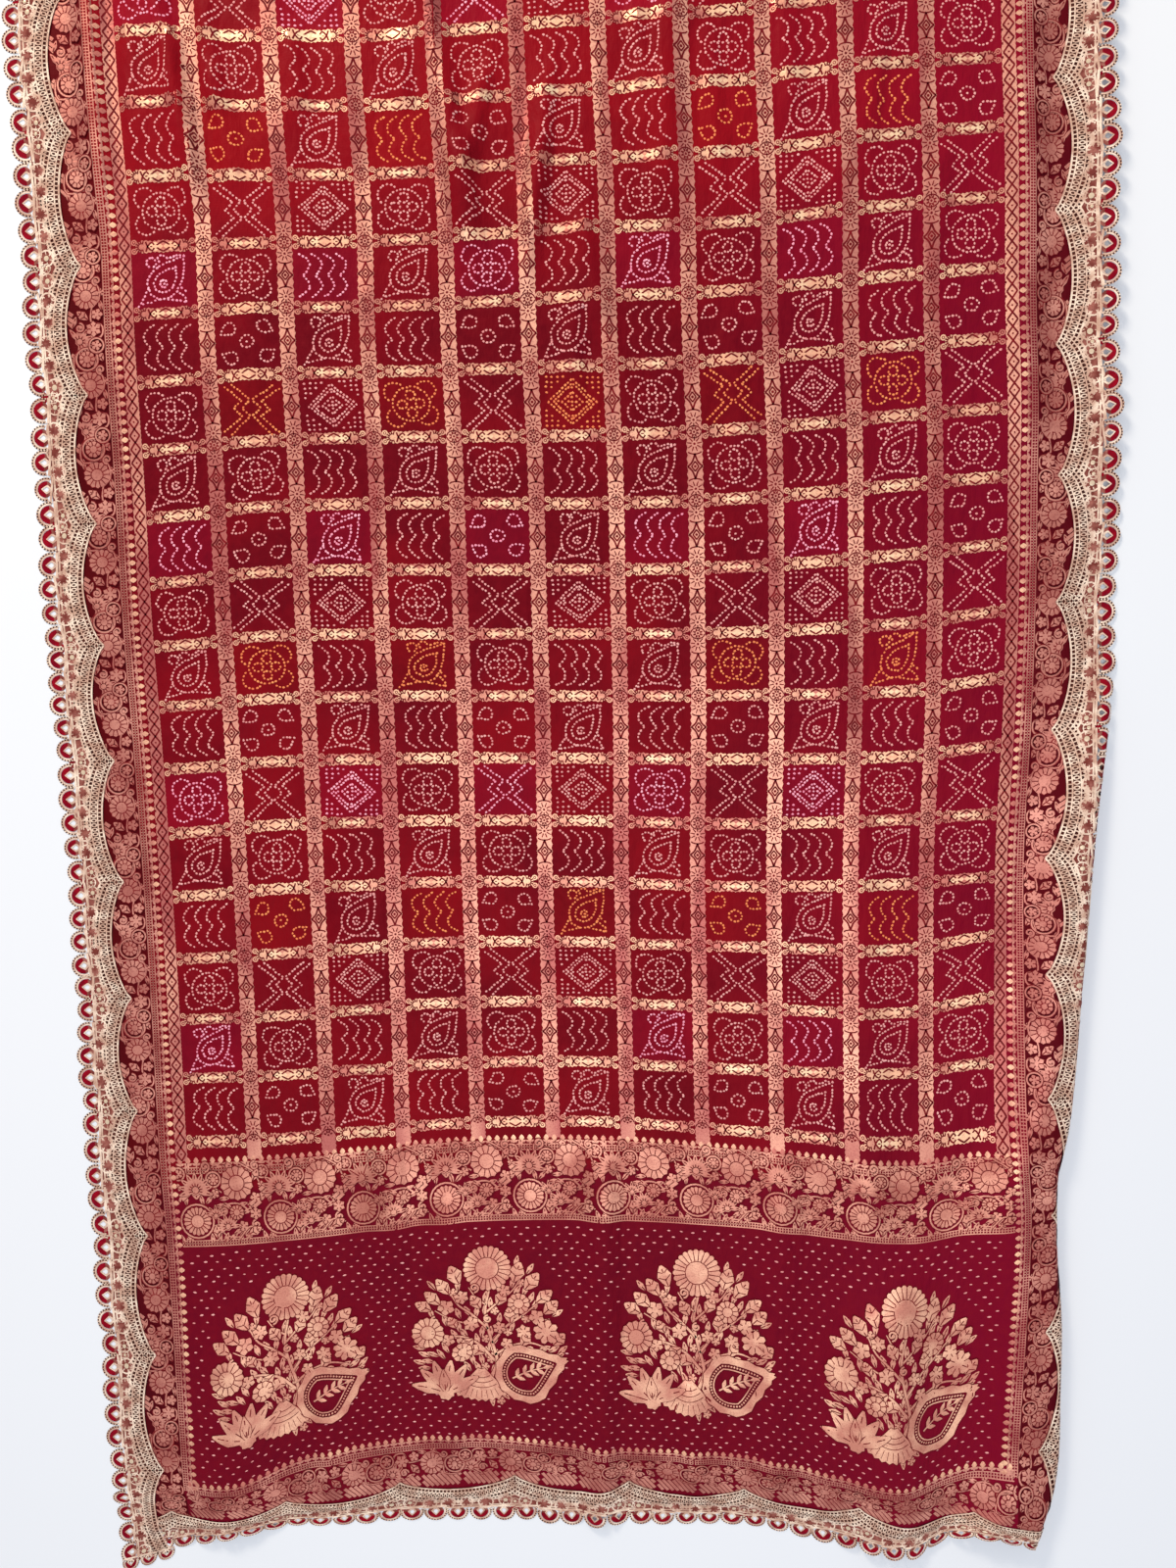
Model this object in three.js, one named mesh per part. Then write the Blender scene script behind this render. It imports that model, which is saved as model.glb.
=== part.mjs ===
// A bandhani dupatta with a woven grid, laid out flat on a surface, and the scalloped lace tapes sewn over its
// four edges. Millimetres, +Z up, the surface it lies on is z = 0. +Y runs along the cloth, away from the near
// end with its worked panel, and +X runs across it.
import * as THREE from "three";

// ---- driving sizes -------------------------------------------------------------------------------------------

// The flat cloth, before it is laid down. "Across" is measured from its middle line, "along" from its near end.
const CELL_PITCH_ACROSS = 76;
const CELL_COLUMNS = 11;
const GRID_BAND = 15.5;
const SIDE_LATTICE = 12.5;
const SIDE_LADDER = 16;
const SIDE_FLOWERS = 43.25;
const CELL_PITCH_ALONG = 63.5;
const CELL_ROWS = 27;
const NEAR_PANEL_TO_GRID = 415;
const FAR_BORDER = 87;
const CLOTH_THICK = 1.2;

const GRID_HALF = (CELL_PITCH_ACROSS * CELL_COLUMNS - GRID_BAND) / 2;
const LADDER_INNER = GRID_HALF + SIDE_LATTICE;
const FLOWERS_INNER = LADDER_INNER + SIDE_LADDER;
const CLOTH_HALF = FLOWERS_INNER + SIDE_FLOWERS;
const CLOTH_LENGTH = NEAR_PANEL_TO_GRID + CELL_ROWS * CELL_PITCH_ALONG + FAR_BORDER;

// The lace tape lies on the cloth's edge and stands out past it. Its inner edge rises to a cusp between scallops.
const LACE_THICK = 1.4;
const LACE_GAP = 0.7;
const LACE_PAST_EDGE = 35;
const LACE_CUSP_IN = 24.5;
const LACE_ARCH = 16;
const LACE_NOTCH = 5;
const LACE_SINKS_OVER = 8;
const SIDE_SCALLOPS = 19;
const SIDE_SCALLOP_STEPS = 3;
const END_SCALLOP_STEPS = 4;
const END_SCALLOPS = 7.5;
const SCALLOP_ROUND = 0.7;
const TAPE_ENDS_APART = 0.9;

// The right edge turns under itself: the bend's radius at the middle of the cloth, and how far the swell that
// covers the turned part runs out.
const TURN_RADIUS = 7;
const SWELL_RUNS_OUT = 60;
const TURN_CLEARS = 0.5;

// ---- how the cloth lies --------------------------------------------------------------------------------------

// Where each weft line lies: y at nine marks across the cloth, the x of its middle, and how much of its flat
// width it keeps.
const MARKS_ACROSS = [-470, -380, -300, -150, 0, 150, 320, 400, 470];
const WEFT_LINES = [
  { along: -39, middle: 27, width: 0.963, y: [-1133, -1107, -1101, -1096, -1102, -1102, -1133, -1104, -1116] },
  { along: 24, middle: 27, width: 0.965, y: [-1082, -1077, -1065, -1043, -1047, -1057, -1079, -1078, -1080] },
  { along: 70, middle: 24, width: 0.970, y: [-1052, -1049, -1022, -1001, -1014, -1023, -1053, -1031, -1020] },
  { along: 314, middle: 22, width: 0.985, y: [-800, -798, -791, -774, -771, -779, -796, -780, -768] },
  { along: 398, middle: 17, width: 0.985, y: [-712, -709, -705, -689, -686, -696, -713, -702, -696] },
  { along: 446, middle: 15, width: 0.984, y: [-659, -656, -653, -642, -639, -648, -653, -644, -640] },
  { along: 573, middle: 12, width: 0.983, y: [-538, -535, -531, -519, -518, -523, -528, -513, -510] },
  { along: 700, middle: 9, width: 0.985, y: [-415, -410, -403, -398, -398, -402, -398, -393, -390] },
  { along: 827, middle: 8, width: 0.995, y: [-290, -285, -279, -276, -276, -276, -273, -262, -257] },
  { along: 954, middle: 5, width: 1.002, y: [-173, -167, -158, -156, -156, -154, -143, -133, -128] },
  { along: 1081, middle: 2, width: 1.002, y: [-49, -43, -35, -31, -31, -26, -12, -6, -2] },
  { along: 1208, middle: -4, width: 0.999, y: [78, 83, 88, 91, 97, 103, 117, 123, 127] },
  { along: 1335, middle: -7, width: 0.996, y: [202, 206, 208, 211, 222, 228, 245, 251, 255] },
  { along: 1462, middle: -14, width: 0.996, y: [330, 334, 332, 333, 345, 354, 371, 374, 378] },
  { along: 1589, middle: -17, width: 0.996, y: [454, 458, 456, 458, 469, 477, 491, 494, 498] },
  { along: 1850, middle: -13, width: 0.995, y: [716, 719, 718, 720, 727, 733, 742, 745, 747] },
  { along: 2216, middle: -6, width: 0.992, y: [1080, 1081, 1082, 1083, 1086, 1089, 1093, 1094, 1094] },
  { along: 2259, middle: -6, width: 0.992, y: [1122, 1123, 1124, 1125, 1128, 1131, 1135, 1136, 1136] },
];

// Soft folds: a crest from one flat point [across, along] to another, how far its two flanks reach to the left
// and right of it, its height, and the length over which each end dies away.
const FOLDS = [
  { name: "left border crest", from: [-434, 1385], to: [-432, 1640], left: 22, right: 17, height: 7, fade: 90 },
  { name: "first column crest", from: [-398, 1430], to: [-392, 1640], left: 15, right: 26, height: 6, fade: 80 },
  { name: "corner tuck", from: [-349, 1380], to: [-372, 1560], left: 26, right: 13, height: 9, fade: 60 },
  { name: "second column swell", from: [-262, 1420], to: [-268, 1640], left: 34, right: 30, height: 4, fade: 110 },
  { name: "fourth column pleat", from: [-92, 1350], to: [-122, 1560], left: 30, right: 12, height: 10, fade: 70 },
  { name: "pleat at the middle", from: [-34, 1290], to: [-14, 1420], left: 20, right: 12, height: 6, fade: 60 },
  { name: "crease below the middle", from: [6, 1190], to: [14, 1300], left: 22, right: 14, height: 5, fade: 70 },
  { name: "lit ridge", from: [96, 1400], to: [112, 1640], left: 22, right: 32, height: 8, fade: 110 },
  { name: "right column swell", from: [262, 1330], to: [275, 1640], left: 40, right: 38, height: 4, fade: 120 },
  { name: "right border crest", from: [430, 1150], to: [432, 1600], left: 40, right: 28, height: 7, fade: 120 },
  { name: "far swell left", from: [-170, 1760], to: [-150, 2040], left: 46, right: 40, height: 5, fade: 110 },
  { name: "far swell right", from: [210, 1720], to: [190, 1990], left: 44, right: 50, height: 5, fade: 120 },
  { name: "left flute", from: [-205, 330], to: [-212, 690], left: 34, right: 22, height: 5, fade: 110 },
  { name: "panel flute left", from: [-150, 90], to: [-152, 300], left: 30, right: 20, height: 4, fade: 70 },
  { name: "panel flute middle", from: [4, -20], to: [8, 330], left: 32, right: 24, height: 7, fade: 90 },
  { name: "panel flute right", from: [186, 60], to: [190, 330], left: 26, right: 30, height: 4, fade: 80 },
  { name: "right flute", from: [284, 380], to: [274, 680], left: 26, right: 34, height: 4, fade: 110 },
  { name: "hem wave right", from: [318, -30], to: [302, 230], left: 76, right: 58, height: 12, fade: 90 },
  { name: "hem wave left", from: [-392, -30], to: [-384, 190], left: 58, right: 66, height: 9, fade: 90 },
];

// The right lace's free edge stands up along the far half of the visible stretch.
const LIFTED_EDGE = { from: 1120, to: 1560, fade: 150, starts: 462, height: 9 };

// The line along which the right edge turns under, as a distance across at each place along the cloth.
const TURNED_EDGE = [
  { along: -39, across: 453 },
  { along: 20, across: 462 },
  { along: 65, across: 473 },
  { along: 150, across: 471 },
  { along: 200, across: 469 },
  { along: 260, across: 463 },
  { along: 323, across: 458 },
  { along: 372, across: 462 },
  { along: 433, across: 476 },
  { along: 553, across: 486 },
  { along: 667, across: 494 },
  { along: 765, across: 500 },
  { along: 860, across: 512 },
  { along: 930, across: 530 },
];

// ---- curves --------------------------------------------------------------------------------------------------

const clamp01 = (v) => Math.min(1, Math.max(0, v));
const softStep = (v) => clamp01(v) ** 2 * (3 - 2 * clamp01(v));

// A smooth curve through values at marks, straight beyond the first and last.
function curveAt(marks, values, at) {
  const last = marks.length - 1;
  const slope = (i) => {
    const a = Math.max(0, i - 1);
    const b = Math.min(last, i + 1);
    return (values[b] - values[a]) / (marks[b] - marks[a]);
  };
  if (at <= marks[0]) return values[0] + slope(0) * (at - marks[0]);
  if (at >= marks[last]) return values[last] + slope(last) * (at - marks[last]);
  const i = marks.findIndex((m) => m > at) - 1;
  const span = marks[i + 1] - marks[i];
  const u = (at - marks[i]) / span;
  const rise = softStep(u);
  const leave = u * (1 - u) ** 2 * span * slope(i);
  const arrive = u ** 2 * (u - 1) * span * slope(i + 1);
  return values[i] * (1 - rise) + values[i + 1] * rise + leave + arrive;
}

const WEFT_MARKS = WEFT_LINES.map((line) => line.along);
const MIDDLES = WEFT_LINES.map((line) => line.middle);
const WIDTHS = WEFT_LINES.map((line) => line.width);

function planAt(across, along) {
  const ys = WEFT_LINES.map((line) => curveAt(MARKS_ACROSS, line.y, across));
  const x = curveAt(WEFT_MARKS, MIDDLES, along) + curveAt(WEFT_MARKS, WIDTHS, along) * across;
  return [x, curveAt(WEFT_MARKS, ys, along)];
}

function foldHeight(fold, across, along) {
  const [across0, along0] = fold.from;
  const [across1, along1] = fold.to;
  const length = Math.hypot(across1 - across0, along1 - along0);
  const dirAcross = (across1 - across0) / length;
  const dirAlong = (along1 - along0) / length;
  const run = (across - across0) * dirAcross + (along - along0) * dirAlong;
  const side = (across - across0) * dirAlong - (along - along0) * dirAcross;
  const reach = side < 0 ? fold.left : fold.right;
  const flank = Math.cos((Math.PI / 2) * clamp01(Math.abs(side) / reach)) ** 2;
  const ends = softStep(run / fold.fade + 1) * softStep((length - run) / fold.fade + 1);
  return fold.height * flank * ends;
}

function turnLine(along) {
  return curveAt(TURNED_EDGE.map((row) => row.along), TURNED_EDGE.map((row) => row.across), along);
}

const LACE_OUTER = CLOTH_HALF + LACE_PAST_EDGE;
const LAYERS_BELOW = CLOTH_THICK / 2 + LACE_GAP + LACE_THICK;
const LACE_SINKS = CLOTH_THICK + LACE_GAP;

// How far the edge has turned at this place along the cloth, in radians, and the height this lifts the cloth.
function turnAt(along) {
  const line = Math.min(turnLine(along), LACE_OUTER);
  const angle = Math.min(Math.PI, (LACE_OUTER - line) / TURN_RADIUS);
  const opened = 1 - Math.cos(angle);
  const lift = TURN_RADIUS * opened + (LAYERS_BELOW + TURN_CLEARS - CLOTH_THICK / 2) * (opened / 2);
  return { line, lift, tucked: Math.max(0, LACE_OUTER - line - Math.PI * TURN_RADIUS) };
}

function restHeight(across, along) {
  const folds = FOLDS.reduce((sum, fold) => sum + foldHeight(fold, across, along), 0);
  const { from, to, fade, starts, height } = LIFTED_EDGE;
  const along01 = softStep((along - from) / fade + 1) * softStep((to - along) / fade + 1);
  const lifted = height * softStep((across - starts) / (LACE_OUTER - starts)) * along01;
  const past = Math.max(Math.abs(across) - CLOTH_HALF, -along, along - CLOTH_LENGTH, 0);
  const sinks = LACE_SINKS * softStep(past / LACE_SINKS_OVER);
  const turn = turnAt(along);
  const covers = softStep((across - (turn.line - turn.tucked - SWELL_RUNS_OUT)) / SWELL_RUNS_OUT);
  return CLOTH_THICK / 2 + folds + lifted - sinks * (1 - covers) + turn.lift * covers;
}

// The middle of the cloth at a flat place, in space. Past the turn line it runs round the bend and back under.
function laidAt(across, along) {
  const turn = turnAt(along);
  const past = across - turn.line;
  if (past <= 0) return new THREE.Vector3(...planAt(across, along), restHeight(across, along));
  const [x, y] = planAt(turn.line, along);
  const top = restHeight(turn.line, along);
  const angle = Math.min(Math.PI, past / TURN_RADIUS);
  const back = Math.max(0, past - Math.PI * TURN_RADIUS);
  const out = TURN_RADIUS * Math.sin(angle) - back;
  return new THREE.Vector3(x + out, y, top - TURN_RADIUS * (1 - Math.cos(angle)));
}

function normalAt(across, along) {
  const step = 0.5;
  const alongCross = laidAt(across + step, along).sub(laidAt(across - step, along));
  const alongLength = laidAt(across, along + step).sub(laidAt(across, along - step));
  return alongCross.cross(alongLength).normalize();
}

// ---- flat sheets, cut and given thickness --------------------------------------------------------------------

const evenly = (from, to, steps) => Array.from({ length: steps + 1 }, (_, i) => from + ((to - from) * i) / steps);

// Where the facets of the laid cloth have their corners. Every piece is cut from this one set of facets, so the
// lace lies parallel to the cloth below it. Corners fall on the cusps of the scallops, both ways.
const LACE_INNER = CLOTH_HALF - LACE_CUSP_IN;
const END_PITCH = (2 * LACE_INNER) / END_SCALLOPS;
const SIDE_PITCH = (CLOTH_LENGTH + 2 * LACE_PAST_EDGE) / SIDE_SCALLOPS;
const sideStation = (step) => (step * SIDE_PITCH) / SIDE_SCALLOP_STEPS - LACE_PAST_EDGE;
const SIDE_STEPS = SIDE_SCALLOPS * SIDE_SCALLOP_STEPS;
const COARSE_FROM = 3;
const COARSE_ROWS = 26;

const ACROSS_STATIONS = [
  -LACE_OUTER,
  -CLOTH_HALF,
  ...evenly(-LACE_INNER, LACE_INNER, END_SCALLOPS * END_SCALLOP_STEPS),
  ...evenly(LACE_INNER, CLOTH_HALF, 3).slice(1),
  ...evenly(CLOTH_HALF, LACE_OUTER, 5).slice(1),
];
const ALONG_STATIONS = [
  -LACE_PAST_EDGE,
  0,
  LACE_CUSP_IN,
  ...evenly(sideStation(2), sideStation(SIDE_STEPS - 2), SIDE_STEPS - 4),
  CLOTH_LENGTH - LACE_CUSP_IN,
  CLOTH_LENGTH,
  CLOTH_LENGTH + LACE_PAST_EDGE,
];

// The corners of the facets: the flat place of each, where it lies, and which way the cloth faces there.
const gridCorners = ALONG_STATIONS.map((along) =>
  ACROSS_STATIONS.map((across) => ({
    across,
    along,
    point: laidAt(across, along),
    normal: normalAt(across, along),
  })),
);

// Away from the edges a facet is two rows long. In the column on either side of those long facets, three triangles
// join one long side to two short ones.
const NEARLY = 1e-6;
const within = (stations, i, from, to) => stations[i] > from - NEARLY && stations[i + 1] < to + NEARLY;
const farFromEdges = (i) => within(ACROSS_STATIONS, i, ACROSS_STATIONS[3], -ACROSS_STATIONS[3]);

function shortFacets(i, low, mid) {
  return [
    [low[i], low[i + 1], mid[i + 1]],
    [low[i], mid[i + 1], mid[i]],
  ];
}

function longFacets(i, low, mid, high) {
  if (farFromEdges(i)) return shortFacets(i, low, high);
  if (farFromEdges(i + 1)) {
    return [
      [low[i], low[i + 1], mid[i]],
      [mid[i], low[i + 1], high[i + 1]],
      [mid[i], high[i + 1], high[i]],
    ];
  }
  return [
    [low[i], low[i + 1], mid[i + 1]],
    [low[i], mid[i + 1], high[i]],
    [mid[i + 1], high[i + 1], high[i]],
  ];
}

// The facets between two places across the cloth and two along it.
function gridTriangles(fromAcross, toAcross, fromAlong, toAlong) {
  const triangles = [];
  gridCorners.slice(0, -1).forEach((low, j) => {
    if (!within(ALONG_STATIONS, j, fromAlong, toAlong)) return;
    const [mid, high] = [gridCorners[j + 1], gridCorners[j + 2]];
    const longRow = j >= COARSE_FROM && j < COARSE_FROM + 2 * COARSE_ROWS;
    const secondHalf = (j - COARSE_FROM) % 2 === 1;
    low.slice(0, -1).forEach((_, i) => {
      if (!within(ACROSS_STATIONS, i, fromAcross, toAcross)) return;
      const isLong = longRow && (farFromEdges(i - 1) || farFromEdges(i) || farFromEdges(i + 1));
      if (!isLong) triangles.push(...shortFacets(i, low, mid));
      if (isLong && !secondHalf) triangles.push(...longFacets(i, low, mid, high));
    });
  });
  return triangles;
}

const EDGE_POINTS = new Map();
const cornerKey = (corner) => corner.across.toFixed(5) + " " + corner.along.toFixed(5);

function between(a, b, share) {
  const [p, q, f] = cornerKey(a) < cornerKey(b) ? [a, b, share] : [b, a, 1 - share];
  const corner = {
    across: p.across + (q.across - p.across) * f,
    along: p.along + (q.along - p.along) * f,
    point: p.point.clone().lerp(q.point, f),
    normal: p.normal.clone().lerp(q.normal, f),
  };
  const key = cornerKey(corner);
  if (!EDGE_POINTS.has(key)) EDGE_POINTS.set(key, corner);
  return EDGE_POINTS.get(key);
}

// The part of a triangle where side(corner) is above zero, as triangles.
const ON_THE_LINE = 1e-4;
function part(triangle, side) {
  const polygon = [];
  triangle.forEach((corner, i) => {
    const next = triangle[(i + 1) % 3];
    const [v, w] = [side(corner), side(next)];
    if (v >= -ON_THE_LINE) polygon.push(corner);
    if ((v > ON_THE_LINE && w < -ON_THE_LINE) || (v < -ON_THE_LINE && w > ON_THE_LINE)) {
      polygon.push(between(corner, next, v / (v - w)));
    }
  });
  const values = polygon.map(side);
  if (polygon.length < 3 || Math.max(...values) <= ON_THE_LINE) return [];
  return polygon.slice(2).map((corner, i) => [polygon[0], polygon[i + 1], corner]);
}

const keep = (triangles, side) => triangles.flatMap((triangle) => part(triangle, side));

// Gives a sheet its thickness: its lower face at one height over the cloth's middle, its upper face at another,
// and a wall round every free edge.
function thicken(name, triangles, low, high, material) {
  const corners = new Map();
  const numberOf = (corner) => {
    const key = cornerKey(corner);
    if (!corners.has(key)) corners.set(key, { corner, number: corners.size });
    return corners.get(key).number;
  };
  const faces = triangles.map((t) => t.map(numberOf)).filter(([a, b, c]) => a !== b && b !== c && c !== a);
  const count = corners.size;
  const positions = new Float32Array(count * 6);
  for (const { corner, number } of corners.values()) {
    corner.point.clone().addScaledVector(corner.normal, high).toArray(positions, number * 3);
    corner.point.clone().addScaledVector(corner.normal, low).toArray(positions, (count + number) * 3);
  }
  const edges = new Set(faces.flatMap(([a, b, c]) => [a + "_" + b, b + "_" + c, c + "_" + a]));
  const index = [];
  for (const [a, b, c] of faces) {
    index.push(a, b, c, count + a, count + c, count + b);
    for (const [p, q] of [[a, b], [b, c], [c, a]]) {
      if (!edges.has(q + "_" + p)) index.push(q, p, count + p, q, count + p, count + q);
    }
  }
  const geometry = new THREE.BufferGeometry();
  geometry.setAttribute("position", new THREE.BufferAttribute(positions, 3));
  geometry.setIndex(index);
  geometry.computeVertexNormals();
  const mesh = new THREE.Mesh(geometry, material);
  mesh.name = name;
  return mesh;
}

// ---- the pieces ----------------------------------------------------------------------------------------------

const silk = new THREE.MeshStandardMaterial({ color: 0x8c1024, roughness: 0.55, metalness: 0 });
const lace = new THREE.MeshStandardMaterial({ color: 0xd8b79a, roughness: 0.6, metalness: 0.1 });

// A scallop's height over its pitch, from 0 at the cusps to 1 in the middle.
function scallop(place, pitch) {
  const share = place / pitch - Math.floor(place / pitch + 1e-9);
  return Math.sin(Math.PI * clamp01(share)) ** SCALLOP_ROUND;
}

// The same curve made straight from station to station, so that two tapes cut along it meet edge to edge.
function straightened(stations, curve) {
  const values = stations.map(curve);
  return (place) => {
    const next = stations.findIndex((station) => station > place);
    const i = next < 0 ? stations.length - 2 : Math.max(0, next - 1);
    const share = (place - stations[i]) / (stations[i + 1] - stations[i]);
    return values[i] + (values[i + 1] - values[i]) * share;
  };
}

const sideRise = straightened(ALONG_STATIONS, (along) => scallop(along + LACE_PAST_EDGE, SIDE_PITCH));
const endRise = straightened(ACROSS_STATIONS, (across) => scallop(across, END_PITCH));
const sideInner = (along) => LACE_INNER + LACE_ARCH * sideRise(along);
const sideOuter = (along) => LACE_OUTER - LACE_NOTCH * (1 - sideRise(along));
const endInner = (across) => LACE_CUSP_IN - LACE_ARCH * endRise(across);
const endOuter = (across) => LACE_NOTCH * (1 - endRise(across)) - LACE_PAST_EDGE;

const LACE_LOW = CLOTH_THICK / 2 + LACE_GAP;
const LACE_HIGH = LACE_LOW + LACE_THICK;

function sideTape(name, hand) {
  const [from, to] = hand < 0 ? [-LACE_OUTER, -LACE_INNER] : [LACE_INNER, LACE_OUTER];
  let tape = gridTriangles(from, to, -LACE_PAST_EDGE, CLOTH_LENGTH + LACE_PAST_EDGE);
  tape = keep(tape, (corner) => corner.across * hand - sideInner(corner.along));
  tape = keep(tape, (corner) => sideOuter(corner.along) - corner.across * hand);
  return thicken(name, tape, LACE_LOW, LACE_HIGH, lace);
}

// The tape across one end, cut to meet the side tapes' inner edges. Depth is counted inwards from that end.
function endTape(name, end, inward) {
  const [outer, inner] = [end - inward * LACE_PAST_EDGE, end + inward * LACE_CUSP_IN];
  const depth = (corner) => (corner.along - end) * inward;
  let tape = gridTriangles(-CLOTH_HALF, CLOTH_HALF, Math.min(outer, inner), Math.max(outer, inner));
  tape = keep(tape, (corner) => endInner(corner.across) - depth(corner));
  tape = keep(tape, (corner) => depth(corner) - endOuter(corner.across));
  tape = keep(tape, (corner) => sideInner(corner.along) - TAPE_ENDS_APART - corner.across);
  tape = keep(tape, (corner) => sideInner(corner.along) - TAPE_ENDS_APART + corner.across);
  return thicken(name, tape, LACE_LOW, LACE_HIGH, lace);
}

const cloth = thicken(
  "cloth",
  gridTriangles(-CLOTH_HALF, CLOTH_HALF, 0, CLOTH_LENGTH),
  -CLOTH_THICK / 2,
  CLOTH_THICK / 2,
  silk,
);

const dupatta = new THREE.Group();
dupatta.add(cloth);
dupatta.add(sideTape("lace_left", -1));
dupatta.add(sideTape("lace_right", 1));
dupatta.add(endTape("lace_near_end", 0, 1));
dupatta.add(endTape("lace_far_end", CLOTH_LENGTH, -1));

export default dupatta;
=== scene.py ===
# %% [markdown]
# # A bandhani dupatta, laid out flat
#
# A dupatta is a long stole. This one is crimson silk, tied and dyed so that rows of small pale dots draw a
# motif in every square, with a grid, borders and an end panel woven in rose-gold metal thread (zari), and a
# scalloped lace tape sewn over all four edges. The patterns could be painted as one material. They are thin
# raised shapes here, because raised thread catches the light and stays sharp close up. Everything is drawn
# flat first, in millimetres, as on the weaver's table, and one function then lays each piece on the folds
# of the cloth.

import math

import bmesh
import bpy
import numpy as np
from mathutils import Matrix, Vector


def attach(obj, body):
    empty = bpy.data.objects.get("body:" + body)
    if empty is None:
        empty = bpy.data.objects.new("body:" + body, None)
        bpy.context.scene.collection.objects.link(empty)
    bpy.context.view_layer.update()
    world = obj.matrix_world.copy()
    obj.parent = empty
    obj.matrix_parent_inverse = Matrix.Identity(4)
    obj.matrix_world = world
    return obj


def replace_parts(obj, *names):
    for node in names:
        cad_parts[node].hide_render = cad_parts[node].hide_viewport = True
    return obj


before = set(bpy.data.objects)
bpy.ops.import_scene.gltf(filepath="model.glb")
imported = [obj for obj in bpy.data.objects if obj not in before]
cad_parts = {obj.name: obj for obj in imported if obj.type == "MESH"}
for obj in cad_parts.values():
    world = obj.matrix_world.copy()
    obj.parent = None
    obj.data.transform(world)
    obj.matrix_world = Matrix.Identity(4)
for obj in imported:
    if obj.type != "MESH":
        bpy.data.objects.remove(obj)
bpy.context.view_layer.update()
print("CAD nodes:", sorted(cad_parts))

# %% [markdown]
# ## The camera
# The camera looks almost straight down at the worked end of the cloth. Its lens is worked out for an
# upright frame, so the sensor is measured along the tall side.

# %% Camera
IMAGE_TALL = 1600
FOCAL_IN_PIXELS = 1155
SENSOR = 36.0
CAMERA_AT = (0.014, -0.2407, 1.1013)
CAMERA_TILT = math.radians(4.688)

camera = bpy.data.objects.new("camera", bpy.data.cameras.new("camera"))
camera.data.sensor_fit = "VERTICAL"
camera.data.sensor_height = SENSOR
camera.data.lens = FOCAL_IN_PIXELS / IMAGE_TALL * SENSOR
camera.location = CAMERA_AT
camera.rotation_euler = (-CAMERA_TILT, 0, 0)
bpy.context.scene.collection.objects.link(camera)
bpy.context.scene.camera = camera
print("lens", round(camera.data.lens, 2), "mm")

# %% [markdown]
# ## The flat cloth
# These are the weaver's sizes, in millimetres. "Across" is measured from the middle line of the cloth and
# "along" from its near end. The squares repeat every 76 mm across and 63.5 mm along, and the other sizes
# are added to those, so that one changed size moves everything beyond it.

# %% Flat sizes
CELL_ACROSS, CELL_ALONG = 76.0, 63.5
COLUMNS, ROWS = 11, 27
BAND_ACROSS = 15.5
FIRST_BAND = 415.0
GRID_HALF = (CELL_ACROSS * COLUMNS - BAND_ACROSS) / 2
LADDER_INNER = GRID_HALF + 12.5
FLOWERS_INNER = LADDER_INNER + 16.0
CLOTH_HALF = FLOWERS_INNER + 43.25
CLOTH_LENGTH = FIRST_BAND + ROWS * CELL_ALONG + 87.0
PANEL_FROM, PANEL_TO, END_BAND_TO = 70.0, 314.0, 398.0
FAR_BORDER_FROM = FIRST_BAND + ROWS * CELL_ALONG + 17.0

CLOTH_THICK, LACE_GAP, LACE_THICK = 1.2, 0.7, 1.4
LACE_PAST_EDGE, LACE_CUSP_IN, LACE_ARCH = 35.0, 24.5, 16.0
LACE_OUTER = CLOTH_HALF + LACE_PAST_EDGE
LACE_INNER = CLOTH_HALF - LACE_CUSP_IN
SIDE_SCALLOPS, END_SCALLOPS = 19, 7.5
SIDE_PITCH = (CLOTH_LENGTH + 2 * LACE_PAST_EDGE) / SIDE_SCALLOPS
END_PITCH = 2 * LACE_INNER / END_SCALLOPS
print("cloth", 2 * CLOTH_HALF, "by", CLOTH_LENGTH, "mm")
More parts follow.
